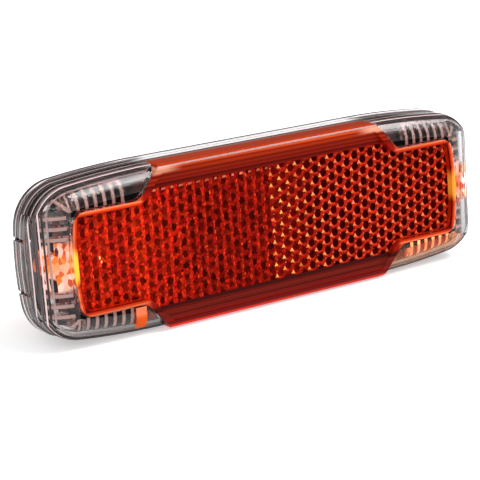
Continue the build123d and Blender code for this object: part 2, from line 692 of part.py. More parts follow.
def buffer_capacitor():
    side = 2 * CAPACITOR_RADIUS
    base = slab(Pos(*CAPACITOR_PLACE) * Rectangle(side, side), BOARD_FRONT, BOARD_FRONT + CAPACITOR_BASE)
    can = pin(CAPACITOR_PLACE, CAPACITOR_RADIUS, BOARD_FRONT, BOARD_FRONT + CAPACITOR_HEIGHT)
    return base + can


def boost_coil():
    coil = pin(COIL_PLACE, COIL_RADIUS, BOARD_FRONT, BOARD_FRONT + COIL_FLANGE)
    coil += pin(COIL_PLACE, COIL_WAIST, BOARD_FRONT, BOARD_FRONT + COIL_HEIGHT)
    top = BOARD_FRONT + COIL_HEIGHT
    return coil + pin(COIL_PLACE, COIL_RADIUS, top - COIL_FLANGE, top)


def chip_resistors():
    """A block of resistors midway between the chip and the lamp's legs, below the capacitor."""
    width, height, thickness = RESISTOR_SIZE
    middle = (CHIP_X + CHIP_SIZE[0] / 2 + LED_X - LED_LEG_PITCH / 2) / 2
    chips = []
    for column in range(RESISTOR_COLUMNS):
        x = middle + (column - (RESISTOR_COLUMNS - 1) / 2) * (width + PART_GAP)
        for row in range(RESISTOR_ROWS):
            z = CHIP_HALF_HEIGHT - height / 2 - row * (height + PART_GAP)
            chips.append(block((x - width / 2, x + width / 2), (z - height / 2, z + height / 2),
                               (BOARD_FRONT, BOARD_FRONT + thickness)))
    return chips


def led(side):
    """A round lamp that stands off its board on two legs."""
    place = (side * LED_X, 0)
    body_end = LED_BASE + LED_HEIGHT - LED_RADIUS
    lamp = pin(place, LED_FLANGE_RADIUS, LED_BASE, LED_BASE + LED_FLANGE)
    lamp += pin(place, LED_RADIUS, LED_BASE, body_end)
    dome = Pos(place[0], -body_end, 0) * Sphere(LED_RADIUS)
    lamp += dome
    for half in SIDES:
        x = place[0] + half * LED_LEG_PITCH / 2
        lamp += block((x - LED_LEG / 2, x + LED_LEG / 2), (-LED_LEG / 2, LED_LEG / 2),
                      (BOARD_LEVEL - LED_LEG_TAIL, LED_BASE + LED_FLANGE / 2))
    return lamp


def board_screws():
    screws = []
    slot_reach = SCREW_HEAD_RADIUS + CUT
    for side in SIDES:
        for x, z in screw_places():
            place = (side * x, z)
            head_top = BOARD_FRONT + SCREW_HEAD
            screw = pin(place, SCREW_HEAD_RADIUS, BOARD_FRONT, head_top)
            screw += pin(place, SCREW_RADIUS, BOARD_FRONT - SCREW_LENGTH, BOARD_FRONT)
            slot = block((place[0] - slot_reach, place[0] + slot_reach),
                         (z - SCREW_SLOT / 2, z + SCREW_SLOT / 2), (head_top - SCREW_HEAD / 2, head_top))
            screws.append(screw - slot)
    return screws


def switch_pin_places():
    """Where the tact switch's four pins pass through the main board."""
    places = []
    for half in SIDES:
        for z in (SWITCH_BACK + SWITCH_PIN, SWITCH_FACE - SWITCH_PIN):
            places.append((BUTTON_X + half * SWITCH_PIN_PITCH / 2, -z))
    return places


def tact_switch():
    half = SWITCH_SIDE / 2
    low, high = BUTTON_LEVEL - half, BUTTON_LEVEL + half
    switch = block((BUTTON_X - half, BUTTON_X + half), (-SWITCH_FACE, -SWITCH_BACK), (low, high))
    for x, z in switch_pin_places():
        switch += block((x - SWITCH_PIN / 2, x + SWITCH_PIN / 2), (z - SWITCH_PIN / 2, z + SWITCH_PIN / 2),
                        (high, BOARD_FRONT + SWITCH_PIN_TAIL))
    bore = (-SWITCH_FACE - CUT, -SWITCH_FACE + plunger_depth() + BUTTON_TRAVEL + PLUNGER_GAP)
    return switch - bar_along_z(BUTTON_X, BUTTON_LEVEL, bore, PLUNGER_RADIUS + PLUNGER_GAP)


def plunger_depth():
    """How far the plunger reaches into its switch at rest."""
    return SWITCH_HEIGHT / 2


def switch_plunger():
    reach = (-SWITCH_FACE - PLUNGER_PROUD, -SWITCH_FACE + plunger_depth())
    return bar_along_z(BUTTON_X, BUTTON_LEVEL, reach, PLUNGER_RADIUS)


def power_button():
    outer = -BUTTON_WALL - BUTTON_PROUD
    cap = bar_along_z(BUTTON_X, BUTTON_LEVEL, (outer, -BUTTON_INNER), BUTTON_RADIUS)
    cap = fillet(cap.faces().sort_by(Axis.Z)[0].edges(), BUTTON_ROUND)
    for ridge in range(BUTTON_RIDGES):
        x = BUTTON_X + (ridge - (BUTTON_RIDGES - 1) / 2) * BUTTON_RIDGE_GAP
        cap -= block((x - BUTTON_RIDGE / 2, x + BUTTON_RIDGE / 2), (outer, outer + BUTTON_RIDGE_DEPTH),
                     (BUTTON_LEVEL - BUTTON_RADIUS, BUTTON_LEVEL + BUTTON_RADIUS))
    flange = (-BUTTON_INNER, -BUTTON_INNER + BUTTON_FLANGE)
    return cap + bar_along_z(BUTTON_X, BUTTON_LEVEL, flange, BUTTON_FLANGE_RADIUS)


def led_leads():
    """Two leads that run under the cells from one board to the other."""
    floor = HOUSING_FLOOR + LEAD_RADIUS + LEAD_FLOOR_GAP
    top = BOARD_FRONT + LEAD_TAIL
    leads = []
    for half in SIDES:
        z = half * LEAD_Z
        points = [(-LEAD_X, -top, z), (-LEAD_X, -floor, z), (LEAD_X, -floor, z), (LEAD_X, -top, z)]
        path = FilletPolyline(*points, radius=LEAD_BEND)
        start = Plane(origin=path @ 0, z_dir=path % 0)
        leads.append(sweep(start * Circle(LEAD_RADIUS), path=path))
    return leads


def write(name, shape):
    """One file for one named piece, or for a group of like pieces."""
    if isinstance(shape, list):
        shape = Compound(children=shape)
    shape.label = name
    export_step(shape, os.path.join("parts", name + ".step"))


def main():
    os.makedirs("parts", exist_ok=True)
    guide = light_guide()
    pieces = {
        "clear_cover": clear_cover(),
        "reflector_panel": reflector_panel(),
        "reflector_back_plate": reflector_back_plate(),
        "light_guide_right": guide,
        "light_guide_left": mirror(guide, Plane.YZ),
        "rear_housing": rear_housing(),
        "housing_seal": housing_seal(),
        "mount_stud_left": mount_stud(-1),
        "mount_stud_right": mount_stud(1),
        "battery_upper": battery(1, 1),
        "battery_lower": battery(-1, -1),
        "contact_positive": contact_strip(1),
        "contact_negative": contact_strip(-1),
        "contact_link": contact_link(),
        "main_board": main_board(),
        "led_board": led_board(),
        "control_chip": control_chip(),
        "buffer_capacitor": buffer_capacitor(),
        "boost_coil": boost_coil(),
        "chip_resistors": chip_resistors(),
        "led_left": led(-1),
        "led_right": led(1),
        "board_screws": board_screws(),
        "tact_switch": tact_switch(),
        "switch_plunger": switch_plunger(),
        "power_button": power_button(),
        "led_leads": led_leads(),
    }
    for name, shape in pieces.items():
        write(name, shape)


main()
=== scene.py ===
import math
import random

import bpy
from mathutils import Matrix, Vector


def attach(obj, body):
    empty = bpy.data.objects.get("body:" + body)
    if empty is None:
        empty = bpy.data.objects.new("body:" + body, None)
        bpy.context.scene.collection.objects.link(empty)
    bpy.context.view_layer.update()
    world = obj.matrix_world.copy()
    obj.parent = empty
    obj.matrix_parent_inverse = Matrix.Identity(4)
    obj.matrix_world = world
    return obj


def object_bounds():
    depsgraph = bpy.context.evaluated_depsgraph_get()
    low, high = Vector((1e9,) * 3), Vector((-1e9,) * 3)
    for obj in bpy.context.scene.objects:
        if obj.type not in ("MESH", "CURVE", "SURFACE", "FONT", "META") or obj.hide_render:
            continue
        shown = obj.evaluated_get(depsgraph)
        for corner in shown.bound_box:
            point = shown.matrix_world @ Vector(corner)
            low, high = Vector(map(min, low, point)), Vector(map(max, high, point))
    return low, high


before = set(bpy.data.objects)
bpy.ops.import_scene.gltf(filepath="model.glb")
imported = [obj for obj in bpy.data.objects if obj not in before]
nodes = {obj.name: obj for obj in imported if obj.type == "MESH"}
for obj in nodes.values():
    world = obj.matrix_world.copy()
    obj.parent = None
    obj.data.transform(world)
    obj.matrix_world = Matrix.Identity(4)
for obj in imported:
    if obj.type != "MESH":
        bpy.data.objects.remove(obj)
cad_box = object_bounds()


def rgb(red, green, blue):
    """A colour given as it looks on a screen, from 0 to 255, as Blender's linear numbers."""
    shares = (channel / 255 for channel in (red, green, blue))
    return tuple(v / 12.92 if v <= 0.04045 else ((v + 0.055) / 1.055) ** 2.4 for v in shares)


def grey(level):
    """A grey in linear numbers."""
    return (level, level, level)


# Sizes are in millimetres, and MM turns them into Blender's metres. +X runs along the light, +Y points back
# to the rack and +Z is up. A level is a distance in front of the mounting face, so Y is -level. Across is a
# distance from the light's middle along X, and beside is one along Z. A fade is the pair of places between
# which a look comes or goes
MM = 0.001
HALF_LENGTH = round(cad_box[1].x / MM, 3)
HALF_HEIGHT = round(cad_box[1].z / MM, 3)
DEPTH = round(-cad_box[0].y / MM, 3)

# The reflector, as the CAD model has it: a wide centre, sloping shoulders, a tongue to each side with a bowed
# end, and a recess for the prisms inside a rim
FIELD_MARGIN = 5.8
FIELD_RECESS = 2.0
FIELD_RIM = 1.1
TONGUE_MARGIN_X = 9.5
TONGUE_MARGIN_Z = 7.6
TONGUE_BOW = 1.0
CENTRE_HALF_X = 30.0
SHOULDER_RUN = 6.5
SHOULDER_SLOPE = 0.855
FIELD_HALF_Z = HALF_HEIGHT - FIELD_MARGIN
TONGUE_HALF_Z = HALF_HEIGHT - TONGUE_MARGIN_Z - FIELD_RIM
SHOULDER_X = CENTRE_HALF_X + SHOULDER_RUN - FIELD_RIM
RIM_X = HALF_LENGTH - TONGUE_MARGIN_X - FIELD_RIM + TONGUE_BOW
RIM_CURVE = 0.0075

# The reflector's looks, with painted light and shade. The bands run over the bezels along Z, and over the
# rims from their inner edge
# The upper bezel's red, with painted shade lines and painted highlight bands over its steps and top edge
TOP_BEZEL_PAINTED_LIGHT_AND_SHADE = (
    (13.0, rgb(150, 20, 4)), (14.1, rgb(120, 14, 3)), (14.5, rgb(84, 6, 2)), (14.9, rgb(160, 34, 8)),
    (15.4, rgb(120, 16, 4)), (16.0, rgb(168, 40, 10)), (16.5, rgb(96, 10, 3)), (17.1, rgb(206, 62, 16)),
    (17.8, rgb(140, 22, 3)), (18.2, rgb(206, 84, 44)), (18.7, rgb(130, 30, 8)), (19.1, rgb(190, 60, 16)),
    (HALF_HEIGHT, rgb(120, 32, 12)),
)
# The lower bezel's red, with painted shade lines, brightest at the bottom edge as a painted glow
BOTTOM_BEZEL_PAINTED_LIGHT_AND_SHADE = (
    (-HALF_HEIGHT, rgb(240, 44, 8)), (-18.5, rgb(226, 36, 6)), (-18.1, rgb(120, 12, 4)),
    (-17.7, rgb(84, 6, 3)), (-17.1, rgb(134, 14, 6)), (-16.2, rgb(110, 22, 12)), (-15.0, rgb(134, 32, 20)),
    (-14.4, rgb(62, 4, 1)), (-13.8, rgb(84, 8, 3)), (-13.0, rgb(150, 20, 4)),
)
# The rims: painted shade at the inner edge and a painted highlight line near the outer edge
RIM_PAINTED_LIGHT_AND_SHADE = (
    (0.0, rgb(96, 8, 2)), (0.2, rgb(214, 46, 8)), (0.6, rgb(232, 74, 20)), (0.85, rgb(246, 140, 96)),
    (FIELD_RIM, rgb(214, 70, 40)),
)
RECESS_WALL = rgb(186, 36, 8)
RIM_FACE_FADE = (-25.7, -25.2)
TONGUE_FADE = (35.0, 36.4)
RED_ROUGHNESS = 0.08
RED_SPECULAR = 0.4
# A faint painted glow over the whole red body
RED_LIGHT = 0.12
STREAK_TONES = ((0.5, 0.4, 0.35), (1.15, 1.15, 1.1))
# A painted highlight by each shoulder, along the centre's top edge
PAINTED_HIGHLIGHT = rgb(252, 184, 156)
PAINTED_HIGHLIGHT_X = 32.0
PAINTED_HIGHLIGHT_Z = 17.8
PAINTED_HIGHLIGHT_X_FADE = (2.5, 8.0)
PAINTED_HIGHLIGHT_Z_FADE = (0.4, 1.0)
PAINTED_HIGHLIGHT_SHARE = 0.75

# The lamps, as they look through the reflector's rims, the cover and the guides. The shards and the glow
# paint the lamps' light on those parts as glowing colour
LAMP_X = 56.3
LAMP_BANDS = (
    (0.0, rgb(255, 215, 170)), (1.1, rgb(250, 120, 40)), (2.0, rgb(205, 40, 8)), (2.9, rgb(240, 130, 80)),
)
LAMP_SHARDS = (
    (0.0, rgb(50, 14, 10)), (0.2, rgb(186, 50, 14)), (0.36, rgb(255, 146, 50)), (0.5, rgb(255, 232, 210)),
    (0.75, rgb(240, 200, 190)), (1.0, rgb(255, 240, 236)),
)
SHARD_STRETCH = (1, 1, 0.6)
SHARD_TURN = 0.4
GLOW = rgb(255, 170, 50)
GLOW_FADE = (3.4, 5.6)
GLOW_LIGHT = 0.5
GLOW_RIGHT_SHARE = 0.55

# Clear plastic: moulding marks in the surface, and a painted shade where it is seen edge on
PLASTIC_IOR = 1.49
MARK_DEPTH = 0.1
EDGE_ON_FADE = (0.35, 0.95)
HARDLY = 0.02

# The clear cover: its rounded front edge, which falls away outside EDGE_FLAT, and the painted shade and
# highlight lines round its skirt
FRONT_ROUND = 5.0
COVER_WALL = 1.6
PAD_PROUD = 0.4
ROUND_Z = HALF_HEIGHT - PAD_PROUD - FRONT_ROUND
ROUND_LEVEL = DEPTH - FRONT_ROUND
INNER_ROUND = FRONT_ROUND - COVER_WALL
EDGE_FLAT = 30.0
EDGE_FALL = 396.0
ROUND_FADE = (0.4, 0.8)
ROUND_OVERLAP = 0.4
ROUND_ROUGHNESS = 0.3
# The cover's clear tone face on, and its painted shade edge on
COVER_TONE_AND_EDGE_SHADE = ((0.98, 0.97, 0.975), (0.16, 0.12, 0.125))
# A painted shade over the cover's lowest part
LOWER_PAINTED_SHADE = (0.3, 0.28, 0.27)
LOWER_PAINTED_SHADE_FADE = (-17.6, -16.6)
# Painted shade lines and painted highlight lines round the skirt, by level; the highlight lines glow faintly
SHADE_LINE_LEVELS = (14.2, 15.2, 16.5, 17.4, 20.0, 21.9)
HIGHLIGHT_LINE_LEVELS = (14.8, 17.0, 20.5, 22.6)
PAINTED_SHADE_LINE = rgb(52, 30, 32)
PAINTED_HIGHLIGHT_LINE = rgb(250, 214, 212)
SHADE_LINE_HALF = 0.22
HIGHLIGHT_LINE_HALF = 0.2
LINE_CORE = 0.6
LINE_FROST = 0.92
HIGHLIGHT_LINE_LIGHT = 0.08
# The top wall over the centre: a painted reflection of a white backdrop in bands, with dark bands between
TOP_WALL_PAINTED_REFLECTION_BANDS = (
    (-20.0, rgb(150, 70, 50)), (-18.6, rgb(190, 120, 104)), (-18.2, rgb(56, 34, 34)),
    (-17.4, rgb(70, 46, 46)), (-17.0, rgb(240, 236, 236)), (-15.0, rgb(246, 244, 244)),
    (-14.6, rgb(96, 88, 90)), (-13.4, rgb(170, 164, 166)),
)
TOP_WALL_FADE = (28.0, 34.0)
TOP_WALL_Z = 18.6
TOP_WALL_FROST = 0.85

# Light painted on the cover's front as if seen through it: the right lamp as a glowing oval, an orange patch
# of light by the lower left shoulder, and warm light over the lower right ladder
SHOWS_FADE = (-24.0, -23.0)
SPOT_X = 59.2
SPOT_HALF = (3.4, 5.0)
SPOT_FADE = (0.5, 1.0)
SPOT_FROST = 0.85
SPOT_LIGHT = 0.6
COVER_SHARDS = 900
PATCH_X = (-39.6, -36.8)
PATCH_Z = (-17.6, -12.4)
PATCH_PAINTED_LIGHT_TONES = (rgb(250, 128, 84), rgb(238, 92, 8))
PATCH_TONE_FADE = (-15.2, -13.8)
PATCH_FROST = 0.92
CORNER_X = 30.0
CORNER_Z = -12.3
CORNER_FADE = (52.0, 58.0)
CORNER_PAINTED_LIGHT_TONES = ((0.0, rgb(255, 170, 128)), (1.0, rgb(255, 222, 192)))
CORNER_FROST = 0.06

# The light guides: a ladder beside each tongue with a rail along it, level ribs at the ends and a slanting
# rib in each corner. The windows are the gaps in the ladder, painted dark as shade, and red as light at the
# lower right; the ribs glow with painted light. Pairs of frosts, lights and tones are for the plain side
# first, and for the redder or lower one second
# The guides' clear tone face on, and their painted shade edge on
GUIDE_TONE_AND_EDGE_SHADE = ((0.8, 0.77, 0.77), (0.12, 0.08, 0.08))
RIB_FADE = (0.35, 0.5)
LADDER_X = 40.0
LADDER_PITCH = 2.25
LADDER_SPAN_X = (39.0, 53.6)
LADDER_SPAN_Z = (12.2, 16.6)
RAIL_SPAN_X = (39.6, 51.6)
RAIL_FADE = (0.2, 0.4)
END_RIB_START = 6.4
END_RIB_PITCH = 2.4
END_RIBS = 3
END_RIB_MARGIN = 0.5
END_RIB_SPAN_X = (54.2, 63.0)
END_RIB_TOP = END_RIB_START + (END_RIBS - 1) * END_RIB_PITCH
END_RIB_SPAN_Z = (END_RIB_START - END_RIB_MARGIN, END_RIB_TOP + END_RIB_MARGIN)
CORNER_RIB_X = 41.0
CORNER_RIB_FADE = (0.45, 0.7)
CORNER_RIB_SPAN_Z = (12.2, 20.0)
RIB_FROST = 0.8
RIB_LIGHT = (0.12, 0.8)
# The ribs' painted light, the windows' painted shade and red light, and painted warm light by the shoulders
RIB_PAINTED_LIGHT_TONES = (rgb(250, 206, 196), rgb(255, 222, 186))
WINDOW_FROST = (0.45, 0.8)
WINDOW_PAINTED_SHADE_AND_RED_LIGHT = (rgb(48, 24, 22), rgb(206, 40, 10))
RED_SIDE_FADE = (50.0, 56.0)
WARM_FADE = (34.0, 39.0)
WARM_FROST = (0.3, 0.8)
WARM_PAINTED_LIGHT_TONES = (rgb(190, 120, 110), rgb(226, 92, 24))
LENS_FADE = (5.0, 6.0)
LENS_FROST = 0.8
LENS_LIGHT = 0.7
LENS_EDGE = 0.05
GUIDE_SHARDS = 1050
HEART_FADE = (1.5, 3.8)
HEART_SOFT = (0.6, rgb(255, 150, 40))
HEART_PLAIN = (0.45, rgb(255, 140, 40))

# Grained plastics and rubber: dark and light tone, roughness, grain, its depth, and the nodes that wear it
GRAINED = {
    "housing_black": (rgb(30, 32, 31), rgb(48, 51, 50), 0.5, 1500, 0.03, "rear_housing"),
    "plate_black": (rgb(26, 24, 24), rgb(44, 38, 38), 0.55, 2200, 0.02, "reflector_back_plate"),
    "seal_rubber": (rgb(22, 22, 23), rgb(36, 36, 37), 0.65, 2500, 0.02, "housing_seal"),
    "button_rubber": (rgb(40, 41, 43), rgb(58, 59, 61), 0.7, 3000, 0.02, "power_button"),
    "switch_black": (rgb(28, 28, 30), rgb(44, 44, 46), 0.4, 1800, 0.01, "tact_switch", "switch_plunger"),
    "chip_black": (rgb(30, 30, 31), rgb(46, 46, 47), 0.45, 4000, 0.01, "control_chip", "chip_resistors"),
    "ferrite": (rgb(62, 56, 54), rgb(88, 80, 76), 0.55, 2500, 0.02, "boost_coil"),
    "lead_red": (rgb(168, 34, 28), rgb(196, 48, 38), 0.4, 900, 0.005, "led_leads"),
}

# Metals: tone, roughness, the stretch that sets the way of the marks, and the nodes that wear it
CONTACTS = ("contact_positive", "contact_negative", "contact_link")
METALS = {
    "contact_metal": (rgb(205, 200, 190), 0.25, (1, 8, 1), *CONTACTS),
    "zinc_plate": (rgb(186, 188, 186), 0.3, (1, 12, 1), "mount_stud_left", "mount_stud_right"),
    "screw_steel": (rgb(178, 180, 182), 0.3, (6, 1, 6), "board_screws"),
    "can_aluminium": (rgb(206, 208, 212), 0.35, (1, 1, 10), "buffer_capacitor"),
}

# The boards' tracks, slanting and level, and the cells' jackets from the flat end to the nub
SLANT_TRACK_PITCH = 1.7
LEVEL_TRACK_PITCH = 2.54
TRACK_FADE = (0.12, 0.2)
TRACK_GATE = 0.52
TRACK = rgb(44, 54, 48)
SOLDER_MASK = ((0.3, rgb(18, 22, 20)), (0.7, rgb(28, 33, 30)))
CELL_BANDS = (
    (-25.3, rgb(190, 190, 188)), (-24.6, rgb(190, 190, 188)), (-24.5, rgb(52, 56, 60)),
    (8.0, rgb(60, 64, 68)), (8.1, rgb(186, 120, 72)), (23.2, rgb(196, 130, 80)),
    (23.3, rgb(195, 195, 193)), (25.3, rgb(200, 200, 198)),
)
SCUFF_TONES = (grey(0.82), grey(1.05))

# The prisms' lattice, where odd columns stand half a row higher. Its collars stand a little in front of the
# recess's floor, and its outer facets are tucked under the rim
PRISM_COLUMN = 2.34
PRISM_ROW = 2.75
PRISM_X = 1.13
PRISM_Z = 1.25
PRISM_ROWS = range(-6, 7)
PRISM_END_X = 52.6
SEAM_X = -1.0
TUCK = 0.5
COLLAR_RISE = 0.36
COLLAR_LEVEL = DEPTH - FIELD_RECESS + COLLAR_RISE
THINNEST_FACET = 0.02

# A pit and its collar. The steps run round the pit from the right, and the spreads are ranges of factors
PIT_STEPS = 12
PIT_EDGE = -0.06
PIT_BOTTOM = -0.26
PIT_FACET_SPREAD = (0.6, 1.5)

# The right prisms: values by the seam and FAR_LENGTH away, and how much sooner than that each gets there
FAR_LENGTH = 20.0
# The pits' painted shade, and the net's painted light, brighter on the lit steps at each pit's lower left
RIGHT_PIT_PAINTED_SHADES = (rgb(104, 6, 1), rgb(50, 0, 0))
RIGHT_PIT_HASTE = 1.5
RIGHT_PIT_SPREAD = (0.7, 1.3)
RIGHT_HALF_SIZES = ((0.80, 0.88), (0.93, 1.06))
RIGHT_SIZE_HASTE = 1.3
RIGHT_UNEVENNESS = 0.07
RIGHT_COLLAR_PAINTED_LIGHT = (rgb(140, 17, 5), rgb(172, 30, 11))
LIT_STEPS = range(6, 10)
LIT_SPREAD = (0.9, 1.6)
UNLIT_SPREAD = (0.35, 1.25)
GLINT_TONES = (rgb(255, 196, 90), rgb(250, 128, 76))
GLINT_HASTE = 0.9
GLINT_RED = rgb(235, 80, 30)
GLINT_RED_SHARE = (-0.4, 0.8)
GLINT_SPREAD = (0.8, 1.0)
GLINT_HALF_WIDTH = (0.44, 0.56)
GLINT_PLACE = (-1.2, -0.5)
GLINT_FOOT = -0.38
GLINT_PEAK = (0.02, 0.5)
GLINT_RISE = 0.1
# Painted light on the lip below each right pit
LIP_PAINTED_LIGHT_TONES = (rgb(215, 62, 22), rgb(226, 80, 40))
LIP_SPREAD = (0.55, 1.0)
LIP_PLACE = (-0.75, -1.05)
LIP_OUTLINE = ((-0.55, 0.15), (0.1, -0.25), (0.6, -0.2), (-0.05, 0.2))
SPARK_TONE = rgb(238, 120, 84)
SPARK_SPREAD = (0.5, 1.0)
SPARK_CHANCE = 0.3
SPARK_CHANCE_GAIN = 0.4
SPARK_PLACE = (-0.95, 0.72)
SPARK_STRAY = (0.25, 0.15)
SPARK_OUTLINE = ((-0.2, -0.1), (0.22, -0.04), (0.05, 0.24))
SMALL_RISE = 0.05

# The left prisms: redder past OUTWARD_START, brighter in two upright bands, and with a few sparks by the lamp
LEFT_TONES = (rgb(136, 14, 3), rgb(172, 23, 5))
OUTWARD_START = 20.0
OUTWARD_LENGTH = 10.0
BRIGHT_BANDS = (-46.5, -36.8)
BRIGHT_BAND = rgb(212, 40, 7)
BRIGHT_BAND_HALF = 1.6
# Painted shade in the left pits, and collar facets painted lit at each pit's left and right and shaded
# elsewhere
LEFT_PIT_SHADE_SPREAD = (0.14, 0.42)
LEFT_HALF_WIDTH = (0.65, 0.85)
LEFT_HALF_HEIGHT = (0.75, 1.05)
LEFT_UNEVENNESS = 0.24
LIT_SIDE_STEPS = (0, 5, 6, 11)
LIT_SIDE_FACTOR = 1.35
SHADED_SIDE_FACTOR = 0.8
LEFT_COLLAR_FACTORS = (0.5, 0.7, 0.9, 1.0, 1.2, 1.5)
LEFT_GREEN_SPREAD = (0.4, 1.8)
LEFT_BLUE_SPREAD = (0.2, 2.5)
# Flecks of painted light between the left pits
FLECK_PAINTED_LIGHT_TONE = rgb(216, 56, 22)
FLECK_SPREAD = (0.5, 1.4)
FLECK_PLACES = ((-1.0, -0.7), (0.9, 0.85), (-0.95, 0.9))
FLECK_STRAY = 0.3
FLECK_HALF_WIDTH = (0.08, 0.24)
FLECK_HALF_HEIGHT = (0.2, 0.55)
FLECK_OUTLINE = ((-1, -1), (1, -0.8), (0.9, 1), (-1, 0.7))
LAMPLIT_TONE = rgb(255, 205, 120)
LAMPLIT_PLACE = (-46.8, -2.0)
LAMPLIT_HEIGHT_SHARE = 0.6
LAMPLIT_RADIUS = 2.4
LAMPLIT_CHANCE = 0.18

# The paler facets along the upper bezel
EDGE_START_X = -31.5
EDGE_Z = 13.3
EDGE_FACETS = 14
EDGE_TONE = rgb(232, 110, 76)
EDGE_SPREAD = (0.35, 1.0)
EDGE_HALF_WIDTH = (0.35, 0.6)
EDGE_OUTLINE = ((-1, -0.3), (1, -0.15), (0.7, 0.35), (-0.8, 0.3))
EDGE_RISE = 0.15

# The prisms' material, with a faint painted glow
PRISM_ROUGHNESS = 0.3
PRISM_SPECULAR = 0.04
PRISM_LIGHT = 0.12

# The photograph's camera, measured on the reflector's straight edges, in degrees and millimetres
CAMERA_AZIMUTH = -31.74
CAMERA_ELEVATION = 13.62
CAMERA_ROLL = -4.21
CAMERA_DISTANCE = 421.4
CAMERA_LENS = 135.0
CAMERA_SENSOR = 36.0
CAMERA_CLIP = 10.0
AIM = (-9.56, -24.2, -2.49)

# Lamps: name, place, sizes and power in watts. They aim at the origin
LAMPS = (
    ("key", (420, -340, 720), (700, 340), 6.5),
    ("fill", (-500, -700, 350), (600, 600), 3),
)

# The floor, and how it looks in reflections: dim in front of the light, as a dark card would make it
FLOOR_SIDE = 6000
FLOOR_ROUGHNESS = 0.8
FLOOR_TONE = grey(0.86)
FLOOR_LIFT = 0.45
FLOOR_MIRRORED_IN_FRONT = grey(0.05)
FLOOR_BEHIND_FADE = (-60.0, 60.0)
# A pool of red light painted on the floor round the light
PAINTED_RED_LIGHT_TONE = (0.86, 0.66, 0.64)
PAINTED_RED_LIGHT_HALF = (60.0, 30.0)
PAINTED_RED_LIGHT_FADE = (0.2, 1.3)

# The world: a studio sky from below to above, and a dim room in reflections with a white strip low behind
STUDIO = ((0.0, grey(0.1)), (0.3, grey(0.14)), (0.5, grey(0.7)), (0.9, grey(0.8)))
WHITE = grey(1.0)
DIM_ROOM = grey(0.06)
STRIP_FADE = (0.0, 0.14)
STRIP_BEHIND_FADE = (0.05, 0.2)


def math_node(tree, operation, *values):
    """One step of arithmetic. A value may be a socket or a number."""
    node = tree.nodes.new("ShaderNodeMath")
    node.operation = operation
    for socket, value in zip(node.inputs, values):
        if isinstance(value, bpy.types.NodeSocket):
            tree.links.new(value, socket)
        else:
            socket.default_value = value
    return node.outputs[0]


def chained(tree, operation, values):
    """The same step of arithmetic over any number of values."""
    total, *others = values
    for value in others:
        total = math_node(tree, operation, total, value)
    return total


def times(tree, *values):
    """The product of the values."""
    return chained(tree, "MULTIPLY", values)


def largest(tree, *values):
    """The largest of the values."""
    return chained(tree, "MAXIMUM", values)


def minus(tree, first, second):
    """The first value less the second."""
    return math_node(tree, "SUBTRACT", first, second)


def absolute(tree, value):
    """The value without its sign."""
    return math_node(tree, "ABSOLUTE", value)


def gap(tree, value, place):
    """How far a value is from a place, to either side."""
    return absolute(tree, minus(tree, value, place))


def square_sum(tree, *values):
    """The sum of two values' squares."""
    return math_node(tree, "ADD", *(times(tree, value, value) for value in values))


def over(tree, value, limit):
    """1 where the value is over the limit, and 0 elsewhere."""
    return math_node(tree, "GREATER_THAN", value, limit)


def under(tree, value, limit):
    """1 where the value is under the limit, and 0 elsewhere."""
    return math_node(tree, "LESS_THAN", value, limit)


def inside(tree, value, low, high):
    """1 between two places, and 0 outside them."""
    return times(tree, over(tree, value, low), under(tree, value, high))


def near(tree, value, low, high):
    """1 at the low place, 0 at the high one, and smooth between."""
    remap = tree.nodes.new("ShaderNodeMapRange")
    remap.interpolation_type = "SMOOTHSTEP"
    remap.inputs["From Min"].default_value = low
    remap.inputs["From Max"].default_value = high
    remap.inputs["To Min"].default_value = 1
    remap.inputs["To Max"].default_value = 0
    tree.links.new(value, remap.inputs["Value"])
    return remap.outputs["Result"]


def away(tree, value, low, high):
    """0 at the low place, 1 at the high one, and smooth between."""
    return minus(tree, 1, near(tree, value, low, high))


def mix_value(tree, factor, first, second):
    """The first number where the factor is 0, and the second where it is 1."""
    return math_node(tree, "MULTIPLY_ADD", factor, second - first, first)


def mix(tree, factor, first, second, blend="MIX"):
    """Mixes two colours by a value. A colour may be a socket or plain numbers."""
    node = tree.nodes.new("ShaderNodeMix")
    node.data_type = "RGBA"
    node.blend_type = blend
    for socket, value in ((node.inputs[0], factor), (node.inputs[6], first), (node.inputs[7], second)):
        if isinstance(value, bpy.types.NodeSocket):
            tree.links.new(value, socket)
        else:
            socket.default_value = value if isinstance(value, float) else (*value, 1)
    return node.outputs[2]


def ramp(tree, source, *stops):
    """Colours along a value: each stop is a place and a colour."""
    node = tree.nodes.new("ShaderNodeValToRGB")
    while len(node.color_ramp.elements) < len(stops):
        node.color_ramp.elements.new(0.5)
    for element, (place, colour) in zip(node.color_ramp.elements, stops):
        element.position = place
        element.color = (*colour, 1)
    tree.links.new(source, node.inputs["Fac"])
    return node.outputs["Color"]


def bands(tree, value, stops):
    """Colours at places along a value in millimetres."""
    low, high = stops[0][0], stops[-1][0]
    remap = tree.nodes.new("ShaderNodeMapRange")
    remap.inputs["From Min"].default_value = low
    remap.inputs["From Max"].default_value = high
    tree.links.new(value, remap.inputs["Value"])
    return ramp(tree, remap.outputs["Result"], *(((at - low) / (high - low), colour) for at, colour in stops))


def noise(tree, scale, detail=4.0, stretch=(1, 1, 1)):
    """A noise texture in the object's own coordinates."""
    place = tree.nodes.new("ShaderNodeTexCoord")
    mapping = tree.nodes.new("ShaderNodeMapping")
    mapping.inputs["Scale"].default_value = stretch
    texture = tree.nodes.new("ShaderNodeTexNoise")
    texture.inputs["Scale"].default_value = scale
    texture.inputs["Detail"].default_value = detail
    texture.inputs["Roughness"].default_value = 0.6
    tree.links.new(place.outputs["Object"], mapping.inputs["Vector"])
    tree.links.new(mapping.outputs["Vector"], texture.inputs["Vector"])
    return texture.outputs["Fac"]


